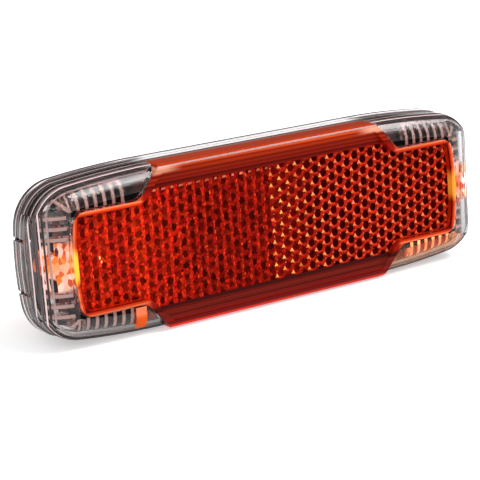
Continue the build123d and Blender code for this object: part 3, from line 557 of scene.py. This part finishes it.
def spread(tree, source, low, high):
    """Maps a noise value, which mostly stays between 0.3 and 0.7, to a range."""
    remap = tree.nodes.new("ShaderNodeMapRange")
    remap.inputs["From Min"].default_value = 0.3
    remap.inputs["From Max"].default_value = 0.7
    remap.inputs["To Min"].default_value = low
    remap.inputs["To Max"].default_value = high
    tree.links.new(source, remap.inputs["Value"])
    return remap.outputs["Result"]


def shards(tree, scale):
    """A number from 0 to 1 for each of many small angular cells, as moulded plastic breaks up a view."""
    place = tree.nodes.new("ShaderNodeTexCoord")
    mapping = tree.nodes.new("ShaderNodeMapping")
    mapping.inputs["Scale"].default_value = SHARD_STRETCH
    mapping.inputs["Rotation"].default_value = (0, SHARD_TURN, 0)
    cells = tree.nodes.new("ShaderNodeTexVoronoi")
    cells.inputs["Scale"].default_value = scale
    split = tree.nodes.new("ShaderNodeSeparateColor")
    tree.links.new(place.outputs["Object"], mapping.inputs["Vector"])
    tree.links.new(mapping.outputs["Vector"], cells.inputs["Vector"])
    tree.links.new(cells.outputs["Color"], split.inputs["Color"])
    return split.outputs["Red"]


def place_in_mm(tree):
    """Sockets with the object's X, Y and Z in millimetres."""
    place = tree.nodes.new("ShaderNodeTexCoord")
    split = tree.nodes.new("ShaderNodeSeparateXYZ")
    tree.links.new(place.outputs["Object"], split.inputs["Vector"])
    return [math_node(tree, "DIVIDE", socket, MM) for socket in split.outputs]


def lamp_distance(tree, x, z):
    """How far a point is from the nearer lamp's axis."""
    return math_node(tree, "SQRT", square_sum(tree, minus(tree, absolute(tree, x), LAMP_X), z))


def new_material(name, colour, roughness, **sockets):
    """A material with one Principled shader. Returns it with its node tree and the shader."""
    material = bpy.data.materials.new(name)
    material.use_nodes = True
    tree = material.node_tree
    shader = tree.nodes["Principled BSDF"]
    shader.inputs["Base Color"].default_value = (*colour, 1)
    shader.inputs["Roughness"].default_value = roughness
    for socket, value in sockets.items():
        shader.inputs[socket.replace("_", " ")].default_value = value
    return material, tree, shader


def bump(tree, shader, height, strength, depth):
    """Gives the shader a fine relief."""
    node = tree.nodes.new("ShaderNodeBump")
    node.inputs["Strength"].default_value = strength
    node.inputs["Distance"].default_value = depth * MM
    tree.links.new(height, node.inputs["Height"])
    tree.links.new(node.outputs["Normal"], shader.inputs["Normal"])


def clear_plastic(name, tone_and_edge_shade, roughness, specular, relief):
    """Clear moulded plastic: faint flow marks, and a painted shade where it is seen edge on."""
    face_on, edge_on_shade = tone_and_edge_shade
    material, tree, shader = new_material(
        name, face_on, roughness, Transmission_Weight=1.0, IOR=PLASTIC_IOR, Specular_IOR_Level=specular)
    marks = noise(tree, scale=90, detail=1, stretch=(1, 3, 1))
    tree.links.new(spread(tree, marks, roughness * 0.5, roughness * 2), shader.inputs["Roughness"])
    bump(tree, shader, marks, strength=relief, depth=MARK_DEPTH)
    # Painted shade where the plastic is seen edge on
    slant = tree.nodes.new("ShaderNodeLayerWeight")
    slant.inputs["Blend"].default_value = 0.5
    tone_with_painted_shade = ramp(tree, slant.outputs["Facing"], *zip(EDGE_ON_FADE, (face_on, edge_on_shade)))
    return material, tree, shader, tone_with_painted_shade


def grained(name, low, high, roughness, grain, depth):
    """Opaque moulded plastic or rubber with a fine grain."""
    material, tree, shader = new_material(name, low, roughness)
    texture = noise(tree, grain, detail=6)
    tree.links.new(ramp(tree, texture, (0.3, low), (0.7, high)), shader.inputs["Base Color"])
    tree.links.new(spread(tree, texture, roughness * 0.8, roughness * 1.2), shader.inputs["Roughness"])
    bump(tree, shader, texture, strength=0.4, depth=depth)
    return material


def metal(name, colour, roughness, stretch):
    """Plated metal with drawn or turned marks."""
    material, tree, shader = new_material(name, colour, roughness, Metallic=1.0)
    marks = noise(tree, scale=400, stretch=stretch)
    tree.links.new(spread(tree, marks, roughness * 0.6, roughness * 1.5), shader.inputs["Roughness"])
    bump(tree, shader, marks, strength=0.2, depth=0.02)
    return material


def rim_place(tree, across, beside):
    """How far a point is past the inner edge of a tongue's rim."""
    end = math_node(tree, "MULTIPLY_ADD", times(tree, beside, beside), RIM_CURVE, -RIM_X)
    return largest(tree, math_node(tree, "ADD", across, end), minus(tree, beside, TONGUE_HALF_Z))


def bezel_tones(tree, x, y, z):
    """Painted light and shade bands over the centre's bezels, rims painted as lit round the tongues, the
    recess's walls and two painted highlights.
    """
    across = absolute(tree, x)
    centre = mix(tree, over(tree, z, 0), bands(tree, z, BOTTOM_BEZEL_PAINTED_LIGHT_AND_SHADE), bands(tree, z, TOP_BEZEL_PAINTED_LIGHT_AND_SHADE))
    rim = bands(tree, rim_place(tree, across, absolute(tree, z)), RIM_PAINTED_LIGHT_AND_SHADE)
    tongue = mix(tree, near(tree, y, *RIM_FACE_FADE), RECESS_WALL, rim)
    tones = mix(tree, away(tree, across, *TONGUE_FADE), centre, tongue)
    # A painted highlight by each shoulder
    painted_highlight = times(tree, near(tree, gap(tree, across, PAINTED_HIGHLIGHT_X), *PAINTED_HIGHLIGHT_X_FADE),
                  near(tree, gap(tree, z, PAINTED_HIGHLIGHT_Z), *PAINTED_HIGHLIGHT_Z_FADE), PAINTED_HIGHLIGHT_SHARE)
    return mix(tree, painted_highlight, tones, PAINTED_HIGHLIGHT)


def red_plastic():
    """The reflector's body: stepped bezels with painted light and shade and faint streaks, a faint painted
    glow all over, and a brighter painted glow where a lamp is close behind.
    """
    material, tree, shader = new_material(
        "red_body", rgb(150, 20, 5), RED_ROUGHNESS, Specular_IOR_Level=RED_SPECULAR)
    x, y, z = place_in_mm(tree)
    streaks = noise(tree, scale=60, detail=8, stretch=(0.12, 1, 8))
    shade = mix(tree, spread(tree, streaks, 0.0, 1.0), *STREAK_TONES)
    colour = mix(tree, 1.0, bezel_tones(tree, x, y, z), shade, "MULTIPLY")
    # A brighter painted glow of the lamp where one is close behind
    glow = near(tree, lamp_distance(tree, x, z), *GLOW_FADE)
    glow = times(tree, glow, mix_value(tree, over(tree, x, 0), 1, GLOW_RIGHT_SHARE))
    colour = mix(tree, glow, colour, GLOW)
    tree.links.new(colour, shader.inputs["Base Color"])
    tree.links.new(colour, shader.inputs["Emission Color"])
    # The red body's painted glow: faint all over, brighter by the lamps
    light = math_node(tree, "MULTIPLY_ADD", glow, GLOW_LIGHT, RED_LIGHT)
    tree.links.new(light, shader.inputs["Emission Strength"])
    bump(tree, shader, streaks, strength=0.12, depth=MARK_DEPTH)
    return material


def skirt_lines(tree, y, levels, half_width):
    """1 on the fine painted lines that run round the cover's skirt, and 0 beside them; they paint the light
    and shade of its moulded steps.
    """
    fade = (half_width * LINE_CORE, half_width)
    return largest(tree, *(near(tree, gap(tree, y, -level), *fade) for level in levels))


def painted_lights_behind(tree, x, z):
    """Light painted on the cover as if seen through it: the right lamp, a patch by a shoulder and the lower
    right ladder.

    Returns how far they hide what is behind, the colour there, and where the lamp is.
    """
    place = (minus(tree, x, SPOT_X), z)
    shares = (math_node(tree, "DIVIDE", value, half) for value, half in zip(place, SPOT_HALF))
    lamp = near(tree, square_sum(tree, *shares), *SPOT_FADE)
    patch = times(tree, inside(tree, x, *PATCH_X), inside(tree, z, *PATCH_Z))
    corner = times(tree, near(tree, x, *CORNER_FADE), over(tree, x, CORNER_X), under(tree, z, CORNER_Z))
    cell = shards(tree, COVER_SHARDS)
    # Painted light: an orange patch, warm light over the corner, and the lamp's light in shards
    colour = mix(tree, near(tree, z, *PATCH_TONE_FADE), *PATCH_PAINTED_LIGHT_TONES)
    colour = mix(tree, corner, colour, ramp(tree, cell, *CORNER_PAINTED_LIGHT_TONES))
    colour = mix(tree, lamp, colour, ramp(tree, cell, *LAMP_SHARDS))
    hidden = largest(tree, times(tree, patch, PATCH_FROST), times(tree, corner, CORNER_FROST),
                     times(tree, lamp, SPOT_FROST))
    return hidden, colour, lamp


def inner_round(tree, x, y, z):
    """1 on the inner side of the cover's rounded upper edge, and 0 elsewhere."""
    past = largest(tree, minus(tree, absolute(tree, x), EDGE_FLAT), 0)
    drop = math_node(tree, "DIVIDE", times(tree, past, past), EDGE_FALL)
    out = minus(tree, math_node(tree, "ADD", z, drop), ROUND_Z)
    ahead = minus(tree, -ROUND_LEVEL, y)
    radius = math_node(tree, "SQRT", square_sum(tree, out, ahead))
    ring = near(tree, gap(tree, radius, INNER_ROUND), *ROUND_FADE)
    return times(tree, ring, over(tree, math_node(tree, "MINIMUM", out, ahead), -ROUND_OVERLAP))


def cover_plastic():
    """The clear cover: painted shade and highlight lines round its skirt, a painted reflection in bands on
    its top wall, and painted light from the lit parts behind it.
    """
    material, tree, shader, tone_with_painted_shade = clear_plastic("clear_cover", COVER_TONE_AND_EDGE_SHADE, 0.012, 0.5, 0.006)
    x, y, z = place_in_mm(tree)
    polish = shader.inputs["Roughness"].links[0].from_socket
    dull = times(tree, inner_round(tree, x, y, z), ROUND_ROUGHNESS)
    tree.links.new(largest(tree, polish, dull), shader.inputs["Roughness"])

    # Painted shade lines and painted highlight lines round the skirt
    dark = skirt_lines(tree, y, SHADE_LINE_LEVELS, SHADE_LINE_HALF)
    pale = skirt_lines(tree, y, HIGHLIGHT_LINE_LEVELS, HIGHLIGHT_LINE_HALF)
    front = near(tree, y, *SHOWS_FADE)
    hidden, behind, lamp = painted_lights_behind(tree, x, z)
    hidden = times(tree, hidden, front)
    shows = over(tree, hidden, HARDLY)
    top = times(tree, near(tree, absolute(tree, x), *TOP_WALL_FADE), over(tree, z, TOP_WALL_Z))
    frost = largest(tree, times(tree, largest(tree, dark, pale), LINE_FROST), hidden,
                    times(tree, top, TOP_WALL_FROST))

    colour = mix(tree, shows, mix(tree, pale, PAINTED_SHADE_LINE, PAINTED_HIGHLIGHT_LINE), behind)
    # A painted reflection in bands on the top wall
    colour = mix(tree, top, colour, bands(tree, y, TOP_WALL_PAINTED_REFLECTION_BANDS))
    # Painted shade over the cover's lowest part
    tone_with_painted_shade = mix(tree, near(tree, z, *LOWER_PAINTED_SHADE_FADE), tone_with_painted_shade, LOWER_PAINTED_SHADE)
    tree.links.new(mix(tree, largest(tree, frost, shows), tone_with_painted_shade, colour), shader.inputs["Base Color"])
    tree.links.new(minus(tree, 1, frost), shader.inputs["Transmission Weight"])
    tree.links.new(colour, shader.inputs["Emission Color"])
    light = math_node(tree, "MULTIPLY_ADD", pale, HIGHLIGHT_LINE_LIGHT, times(tree, lamp, front, SPOT_LIGHT))
    tree.links.new(light, shader.inputs["Emission Strength"])
    return material


def rib_rows(tree, value, start, pitch):
    """1 on ribs that repeat from a place on, and 0 between them."""
    return near(tree, math_node(tree, "PINGPONG", minus(tree, value, start), pitch / 2), *RIB_FADE)


def guide_ribs(tree, across, beside):
    """1 on the guides' ribs and 0 between them: ladder, rail, level ribs and corner ribs."""
    rungs = times(tree, rib_rows(tree, across, LADDER_X, LADDER_PITCH),
                  inside(tree, across, *LADDER_SPAN_X), inside(tree, beside, *LADDER_SPAN_Z))
    rail = near(tree, gap(tree, beside, LADDER_SPAN_Z[1]), *RAIL_FADE)
    rail = times(tree, rail, inside(tree, across, *RAIL_SPAN_X))
    levels = times(tree, rib_rows(tree, beside, END_RIB_START, END_RIB_PITCH),
                   inside(tree, across, *END_RIB_SPAN_X), inside(tree, beside, *END_RIB_SPAN_Z))
    slant = gap(tree, minus(tree, across, beside), CORNER_RIB_X)
    corner = times(tree, near(tree, slant, *CORNER_RIB_FADE), inside(tree, beside, *CORNER_RIB_SPAN_Z))
    return largest(tree, rungs, rail, levels, corner)


def broken_glow(tree, far):
    """A lamp's light in angular shards, more orange at its heart."""
    glow = ramp(tree, shards(tree, GUIDE_SHARDS), *LAMP_SHARDS)
    heart = near(tree, far, *HEART_FADE)
    for (share, tone), blend in ((HEART_SOFT, "SOFT_LIGHT"), (HEART_PLAIN, "MIX")):
        glow = mix(tree, times(tree, heart, share), glow, tone, blend)
    return glow


def guide_plastic():
    """The clear light guides: ribs painted pale and glowing over windows painted dark as shade, the lamps'
    light painted as a broken-up glow, painted warm light by the shoulders, and painted red light at the lower
    right.
    """
    material, tree, shader, tone_with_painted_shade = clear_plastic("clear_guide", GUIDE_TONE_AND_EDGE_SHADE, 0.04, 0.3, 0.003)
    x, _, z = place_in_mm(tree)
    across = absolute(tree, x)
    beside = absolute(tree, z)
    ribs = guide_ribs(tree, across, beside)
    far = lamp_distance(tree, x, z)
    lens = times(tree, near(tree, far, *LENS_FADE), LENS_FROST)
    warm = near(tree, across, *WARM_FADE)
    lower = under(tree, z, 0)
    red_side = times(tree, lower, near(tree, across, *RED_SIDE_FADE), over(tree, x, 0))
    window = times(tree, inside(tree, beside, *LADDER_SPAN_Z), inside(tree, across, *RAIL_SPAN_X))
    frost = largest(tree, times(tree, ribs, RIB_FROST), lens,
                    times(tree, window, mix_value(tree, red_side, *WINDOW_FROST)),
                    times(tree, warm, mix_value(tree, lower, *WARM_FROST)))

    # Painted shade in the windows, painted red light at the lower right, painted warm light by the shoulders,
    # and ribs painted as lit
    colour = mix(tree, warm, mix(tree, red_side, *WINDOW_PAINTED_SHADE_AND_RED_LIGHT), mix(tree, lower, *WARM_PAINTED_LIGHT_TONES))
    colour = mix(tree, ribs, colour, mix(tree, red_side, *RIB_PAINTED_LIGHT_TONES))
    colour = mix(tree, over(tree, lens, LENS_EDGE), colour, broken_glow(tree, far))
    tree.links.new(mix(tree, over(tree, frost, HARDLY), tone_with_painted_shade, colour), shader.inputs["Base Color"])
    tree.links.new(minus(tree, 1, frost), shader.inputs["Transmission Weight"])
    tree.links.new(colour, shader.inputs["Emission Color"])
    # The ribs and the lens glow with painted light
    light = times(tree, ribs, mix_value(tree, red_side, *RIB_LIGHT))
    light = largest(tree, light, times(tree, lens, LENS_LIGHT))
    tree.links.new(light, shader.inputs["Emission Strength"])
    return material


def lamp_plastic():
    """The lamps' lenses, lit from inside: nearly white at the middle and orange at the rim."""
    material, tree, shader = new_material("lamp", rgb(255, 140, 60), roughness=0.15)
    x, _, z = place_in_mm(tree)
    light = bands(tree, lamp_distance(tree, x, z), LAMP_BANDS)
    tree.links.new(light, shader.inputs["Base Color"])
    tree.links.new(light, shader.inputs["Emission Color"])
    strength = spread(tree, noise(tree, scale=500), low=0.35, high=0.7)
    tree.links.new(strength, shader.inputs["Emission Strength"])
    return material


def prism_plastic():
    """Red plastic that takes its tone from each facet, the tones painting the prisms' light and shade, with a
    faint painted glow.
    """
    material, tree, shader = new_material(
        "red_prisms", (0.5, 0.04, 0.01), PRISM_ROUGHNESS, Specular_IOR_Level=PRISM_SPECULAR)
    tone = tree.nodes.new("ShaderNodeVertexColor")
    tone.layer_name = "tone"
    grain = spread(tree, noise(tree, scale=900, detail=5), low=0.7, high=1.2)
    shade = tree.nodes.new("ShaderNodeCombineColor")
    for channel in ("Red", "Green", "Blue"):
        tree.links.new(grain, shade.inputs[channel])
    colour = mix(tree, 1.0, tone.outputs["Color"], shade.outputs["Color"], "MULTIPLY")
    tree.links.new(colour, shader.inputs["Base Color"])
    tree.links.new(colour, shader.inputs["Emission Color"])
    shader.inputs["Emission Strength"].default_value = PRISM_LIGHT
    return material


def board_laminate():
    """Black solder mask with tracks that show through as slightly raised, lighter lines."""
    material, tree, shader = new_material("board_laminate", rgb(22, 26, 24), roughness=0.3)
    x, _, z = place_in_mm(tree)
    tracks = []
    for value, pitch in ((math_node(tree, "ADD", x, z), SLANT_TRACK_PITCH), (z, LEVEL_TRACK_PITCH)):
        beat = math_node(tree, "PINGPONG", value, pitch / 2)
        tracks.append(near(tree, beat, *TRACK_FADE))
    track = times(tree, largest(tree, *tracks), over(tree, noise(tree, scale=160, detail=1), TRACK_GATE))
    mottled = ramp(tree, noise(tree, scale=1200), *SOLDER_MASK)
    tree.links.new(mix(tree, track, mottled, TRACK), shader.inputs["Base Color"])
    bump(tree, shader, track, strength=0.3, depth=0.05)
    return material


def cell_jacket():
    """A plain printed jacket: dark grey, with a copper band by the nub and bare metal at the ends.

    The cells lie opposite ways, so the lower one's bands run from right to left.
    """
    material, tree, shader = new_material("cell_jacket", rgb(60, 64, 68), roughness=0.3, Metallic=0.6)
    x, _, z = place_in_mm(tree)
    turned = times(tree, x, mix_value(tree, over(tree, z, 0), -1, 1))
    scuffs = noise(tree, scale=220, detail=8, stretch=(0.3, 1, 1))
    shade = mix(tree, spread(tree, scuffs, 0.0, 1.0), *SCUFF_TONES)
    colour = mix(tree, 1.0, bands(tree, turned, CELL_BANDS), shade, "MULTIPLY")
    tree.links.new(colour, shader.inputs["Base Color"])
    tree.links.new(spread(tree, scuffs, low=0.22, high=0.42), shader.inputs["Roughness"])
    bump(tree, shader, scuffs, strength=0.1, depth=0.02)
    return material


def field_limit(x, z):
    """Draws a point in to the edge of the reflector's field, tucked a little under its rim."""
    edge = FIELD_HALF_Z + TUCK
    if abs(x) > SHOULDER_X - SHOULDER_SLOPE * (FIELD_HALF_Z - TONGUE_HALF_Z):
        edge = TONGUE_HALF_Z + TUCK + max(0, (SHOULDER_X - abs(x)) / SHOULDER_SLOPE)
    end = PRISM_END_X + TUCK
    return max(-end, min(end, x)), max(-edge, min(edge, z))


def facets_object(name, facets, material):
    """A mesh of loose facets. Each facet is a list of (x, z, rise) points and a tone."""
    points, faces, tones = [], [], []
    for outline, tone in facets:
        limited = [field_limit(x, z) for x, z, rise in outline]
        width = max(x for x, z in limited) - min(x for x, z in limited)
        height = max(z for x, z in limited) - min(z for x, z in limited)
        if min(width, height) < THINNEST_FACET:
            continue
        faces.append(list(range(len(points), len(points) + len(outline))))
        for (x, z), (_, _, rise) in zip(limited, outline):
            points.append((x * MM, -(COLLAR_LEVEL + rise) * MM, z * MM))
        tones.append(tone)
    mesh = bpy.data.meshes.new(name)
    mesh.from_pydata(points, [], faces)
    layer = mesh.color_attributes.new("tone", "FLOAT_COLOR", "CORNER")
    for polygon, tone in zip(mesh.polygons, tones):
        for corner in polygon.loop_indices:
            layer.data[corner].color = (*tone, 1)
    mesh.materials.append(material)
    piece = bpy.data.objects.new(name, mesh)
    bpy.context.scene.collection.objects.link(piece)
    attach(piece, "cover")


def between(first, second, share):
    """A tone or a pair of sizes part of the way from the first to the second."""
    share = max(0.0, min(1.0, share))
    return tuple(a + (b - a) * share for a, b in zip(first, second))


def scaled(tone, factor):
    """A tone made brighter or darker."""
    return tuple(channel * factor for channel in tone)


def prism_cells(low_x, high_x):
    """The centres of the prisms between two places along the light."""
    first = math.ceil((low_x - PRISM_X) / PRISM_COLUMN)
    last = math.floor((high_x - PRISM_X) / PRISM_COLUMN)
    for column in range(first, last + 1):
        for row in PRISM_ROWS:
            yield PRISM_X + column * PRISM_COLUMN, PRISM_Z + (row + 0.5 * (column % 2)) * PRISM_ROW


def flat(x, z, rise, outline, wide=1, high=1):
    """A facet round a place, from an outline that may be made wider or higher."""
    return [(x + u * wide, z + v * high, rise) for u, v in outline]


def cell_outline():
    """Twelve points round a prism's six-sided cell, from the right: its corners and its sides' middles."""
    side = PRISM_COLUMN / 3
    corners = [(2 * side, 0), (side, PRISM_ROW / 2), (-side, PRISM_ROW / 2)]
    corners += [(-u, -v) for u, v in corners]
    outline = []
    for corner, following in zip(corners, corners[1:] + corners[:1]):
        outline += [corner, ((corner[0] + following[0]) / 2, (corner[1] + following[1]) / 2)]
    return outline


def round_pit(chance, x, z, half_size, pit, collar_tone, unevenness):
    """A round pit painted dark as shade, and the six-sided collar of facets round it that meets its
    neighbours' collars.

    The collar's tone comes from a function of the step round the pit. The unevenness is how far the pit's
    edge strays from round, as a share of its radius.
    """
    ring = []
    for step in range(PIT_STEPS):
        angle = step * math.tau / PIT_STEPS
        wobble = chance.uniform(1 - unevenness, 1 + unevenness)
        ring.append((wobble * math.cos(angle), wobble * math.sin(angle)))
    ring = flat(x, z, PIT_EDGE, ring, *half_size)
    outer = flat(x, z, 0, cell_outline())
    facets = []
    for step in range(PIT_STEPS):
        after = (step + 1) % PIT_STEPS
        tone = scaled(pit, chance.uniform(*PIT_FACET_SPREAD))
        facets.append(([ring[step], ring[after], (x, z, PIT_BOTTOM)], tone))
        facets.append(([outer[step], outer[after], ring[after], ring[step]], collar_tone(step)))
    return facets


def glint(chance, x, z, far):
    """The bright three-sided facet at a right pit's lower left."""
    tone = between(*GLINT_TONES, far * GLINT_HASTE)
    tone = between(tone, GLINT_RED, chance.uniform(*GLINT_RED_SHARE))
    half = chance.uniform(*GLINT_HALF_WIDTH)
    outline = ((-half, GLINT_FOOT), (half, GLINT_FOOT), GLINT_PEAK)
    place = (x + GLINT_PLACE[0], z + GLINT_PLACE[1])
    return flat(*place, GLINT_RISE, outline), scaled(tone, chance.uniform(*GLINT_SPREAD))


def lip(chance, x, z):
    """The long facet below a right pit, painted lit, duller than its glint."""
    tone = between(*LIP_PAINTED_LIGHT_TONES, chance.uniform(0, 1))
    facet = flat(x + LIP_PLACE[0], z + LIP_PLACE[1], SMALL_RISE, LIP_OUTLINE)
    return facet, scaled(tone, chance.uniform(*LIP_SPREAD))


def spark(chance, x, z):
    """A small bright facet at a right pit's upper left."""
    tone = scaled(SPARK_TONE, chance.uniform(*SPARK_SPREAD))
    u, v = (chance.uniform(-stray, stray) for stray in SPARK_STRAY)
    return flat(x + SPARK_PLACE[0] - u, z + SPARK_PLACE[1] + v, SMALL_RISE, SPARK_OUTLINE), tone


def right_facets(chance):
    """Round pits painted dark as shade in a net painted as glowing light, with painted glints that are yellow
    by the seam and paler further on.
    """
    facets = []
    for x, z in prism_cells(SEAM_X, PRISM_END_X + PRISM_COLUMN):
        far = (x - SEAM_X) / FAR_LENGTH
        pit = scaled(between(*RIGHT_PIT_PAINTED_SHADES, far * RIGHT_PIT_HASTE), chance.uniform(*RIGHT_PIT_SPREAD))
        collar = between(*RIGHT_COLLAR_PAINTED_LIGHT, far)
        half_size = between(*RIGHT_HALF_SIZES, far * RIGHT_SIZE_HASTE)

        def collar_tone(step):
            return scaled(collar, chance.uniform(*(LIT_SPREAD if step in LIT_STEPS else UNLIT_SPREAD)))

        facets += round_pit(chance, x, z, half_size, pit, collar_tone, RIGHT_UNEVENNESS)
        facets += [glint(chance, x, z, far), lip(chance, x, z)]
        if chance.random() < SPARK_CHANCE + SPARK_CHANCE_GAIN * far:
            facets.append(spark(chance, x, z))
    return facets


def left_tone(x):
    """The left prisms' tone: redder towards the outer end, and brighter in two upright bands."""
    tone = between(*LEFT_TONES, max(0, (-x - OUTWARD_START) / OUTWARD_LENGTH))
    for band in BRIGHT_BANDS:
        tone = between(BRIGHT_BAND, tone, abs(x - band) / BRIGHT_BAND_HALF)
    return tone


def flecks(chance, x, z, base):
    """Narrow upright facets of painted light round a left pit. A few by the lamp shine yellow."""
    facets = []
    lamplit = math.hypot(x - LAMPLIT_PLACE[0], (z - LAMPLIT_PLACE[1]) * LAMPLIT_HEIGHT_SHARE) < LAMPLIT_RADIUS
    for u, v in FLECK_PLACES:
        wide = chance.uniform(*FLECK_HALF_WIDTH)
        high = chance.uniform(*FLECK_HALF_HEIGHT)
        tone = scaled(between(base, FLECK_PAINTED_LIGHT_TONE, chance.uniform(0, 1)), chance.uniform(*FLECK_SPREAD))
        place = [at + offset + chance.uniform(-FLECK_STRAY, FLECK_STRAY) for at, offset in ((x, u), (z, v))]
        if lamplit and chance.random() < LAMPLIT_CHANCE:
            tone = LAMPLIT_TONE
        facets.append((flat(*place, SMALL_RISE, FLECK_OUTLINE, wide, high), tone))
    return facets


def left_facets(chance):
    """Softer, uneven pits painted dark as shade, in mixed reds with sides painted lit and shaded, between
    upright strokes of painted light.
    """
    facets = []
    for x, z in prism_cells(-PRISM_END_X - PRISM_COLUMN, SEAM_X):
        base = left_tone(x)
        pit = scaled(base, chance.uniform(*LEFT_PIT_SHADE_SPREAD))

        def collar_tone(step):
            # The collar's left and right facets painted lit, the others painted shaded
            side = LIT_SIDE_FACTOR if step in LIT_SIDE_STEPS else SHADED_SIDE_FACTOR
            red, green, blue = scaled(base, side * chance.choice(LEFT_COLLAR_FACTORS))
            return (red, green * chance.uniform(*LEFT_GREEN_SPREAD), blue * chance.uniform(*LEFT_BLUE_SPREAD))

        half_size = (chance.uniform(*LEFT_HALF_WIDTH), chance.uniform(*LEFT_HALF_HEIGHT))
        facets += round_pit(chance, x, z, half_size, pit, collar_tone, LEFT_UNEVENNESS)
        facets += flecks(chance, x, z, base)
    return facets


def edge_facets(chance):
    """The paler facets where the left prisms meet the upper bezel."""
    facets = []
    for place in range(EDGE_FACETS):
        tone = scaled(EDGE_TONE, chance.uniform(*EDGE_SPREAD))
        x = EDGE_START_X + place * PRISM_COLUMN
        facets.append((flat(x, EDGE_Z, EDGE_RISE, EDGE_OUTLINE, wide=chance.uniform(*EDGE_HALF_WIDTH)), tone))
    return facets


def dress(material, *names):
    """Gives CAD nodes a material."""
    for name in names:
        data = nodes[name].data
        data.materials.clear()
        data.materials.append(material)


def make_camera():
    """The photograph's camera."""
    azimuth, elevation, roll = (math.radians(a) for a in (CAMERA_AZIMUTH, CAMERA_ELEVATION, CAMERA_ROLL))
    ahead = Vector((
        -math.sin(azimuth) * math.cos(elevation),
        math.cos(azimuth) * math.cos(elevation),
        -math.sin(elevation),
    ))
    level_right = ahead.cross(Vector((0, 0, 1))).normalized()
    level_up = level_right.cross(ahead)
    right = level_right * math.cos(roll) + level_up * math.sin(roll)
    up = level_up * math.cos(roll) - level_right * math.sin(roll)
    data = bpy.data.cameras.new("camera")
    data.lens = CAMERA_LENS
    data.sensor_width = CAMERA_SENSOR
    data.clip_start = CAMERA_CLIP * MM
    camera = bpy.data.objects.new("camera", data)
    bpy.context.scene.collection.objects.link(camera)
    turn = Matrix((right, up, -ahead)).transposed()
    camera.matrix_world = Matrix.Translation((Vector(AIM) - ahead * CAMERA_DISTANCE) * MM) @ turn.to_4x4()
    bpy.context.scene.camera = camera


def area_lamp(name, place, sizes, power):
    """A rectangular lamp that shines at the origin."""
    data = bpy.data.lights.new(name, "AREA")
    data.shape = "RECTANGLE"
    data.size, data.size_y = (size * MM for size in sizes)
    data.energy = power
    lamp = bpy.data.objects.new(name, data)
    bpy.context.scene.collection.objects.link(lamp)
    lamp.location = Vector(place) * MM
    lamp.rotation_euler = (-Vector(place)).to_track_quat("-Z", "Y").to_euler()


def make_floor():
    """A pale floor with a pool of red light painted round the light. A lift for what is seen brings it to
    white.
    """
    bpy.ops.mesh.primitive_plane_add(size=FLOOR_SIDE * MM, location=(0, 0, cad_box[0].z))
    floor = bpy.context.object
    floor.name = "floor"
    material, tree, shader = new_material("floor", FLOOR_TONE, FLOOR_ROUGHNESS)
    x, y, _ = place_in_mm(tree)
    path = tree.nodes.new("ShaderNodeLightPath")
    glossy = path.outputs["Is Glossy Ray"]
    behind = away(tree, y, *FLOOR_BEHIND_FADE)
    # A painted pool of red light round the light
    shares = (math_node(tree, "DIVIDE", value, half) for value, half in zip((x, y), PAINTED_RED_LIGHT_HALF))
    painted_red_light = near(tree, square_sum(tree, *shares), *PAINTED_RED_LIGHT_FADE)
    plain = mix(tree, painted_red_light, FLOOR_TONE, PAINTED_RED_LIGHT_TONE)
    mirrored = mix(tree, behind, FLOOR_MIRRORED_IN_FRONT, FLOOR_TONE)
    tree.links.new(mix(tree, glossy, plain, mirrored), shader.inputs["Base Color"])

    seen = largest(tree, path.outputs["Is Camera Ray"], path.outputs["Is Transmission Ray"],
                   times(tree, glossy, behind))
    lift = tree.nodes.new("ShaderNodeEmission")
    total = tree.nodes.new("ShaderNodeAddShader")
    tree.links.new(times(tree, seen, FLOOR_LIFT), lift.inputs["Strength"])
    tree.links.new(shader.outputs[0], total.inputs[0])
    tree.links.new(lift.outputs[0], total.inputs[1])
    tree.links.new(total.outputs[0], tree.nodes["Material Output"].inputs["Surface"])
    floor.data.materials.append(material)


def make_world():
    """White to the camera. Glass and reflections see a dim room with a white strip low behind the light.

    Light on plain surfaces comes from a soft studio sky.
    """
    world = bpy.data.worlds.new("world")
    bpy.context.scene.world = world
    world.use_nodes = True
    tree = world.node_tree
    place = tree.nodes.new("ShaderNodeTexCoord")
    split = tree.nodes.new("ShaderNodeSeparateXYZ")
    tree.links.new(place.outputs["Generated"], split.inputs["Vector"])
    path = tree.nodes.new("ShaderNodeLightPath")
    strip = times(tree, near(tree, split.outputs["Z"], *STRIP_FADE),
                  away(tree, split.outputs["Y"], *STRIP_BEHIND_FADE))
    mirrored = largest(tree, path.outputs["Is Glossy Ray"], path.outputs["Is Transmission Ray"])
    colour = mix(tree, mirrored, ramp(tree, split.outputs["Z"], *STUDIO), mix(tree, strip, DIM_ROOM, WHITE))
    colour = mix(tree, path.outputs["Is Camera Ray"], colour, WHITE)
    tree.links.new(colour, tree.nodes["Background"].inputs["Color"])


bpy.context.scene.view_settings.view_transform = "Standard"
make_camera()
make_world()
make_floor()
for lamp in LAMPS:
    area_lamp(*lamp)

chance = random.Random(7)
prism_material = prism_plastic()
facets_object("prisms_right", right_facets(chance), prism_material)
facets_object("prisms_left", left_facets(chance), prism_material)
facets_object("prisms_edge", edge_facets(chance), prism_material)

dress(cover_plastic(), "clear_cover")
dress(guide_plastic(), "light_guide_left", "light_guide_right")
dress(red_plastic(), "reflector_panel")
dress(lamp_plastic(), "led_left", "led_right")
dress(board_laminate(), "main_board", "led_board")
dress(cell_jacket(), "battery_upper", "battery_lower")
for name, (low, high, roughness, grain, depth, *wearers) in GRAINED.items():
    dress(grained(name, low, high, roughness, grain, depth), *wearers)
for name, (colour, roughness, stretch, *wearers) in METALS.items():
    dress(metal(name, colour, roughness, stretch), *wearers)
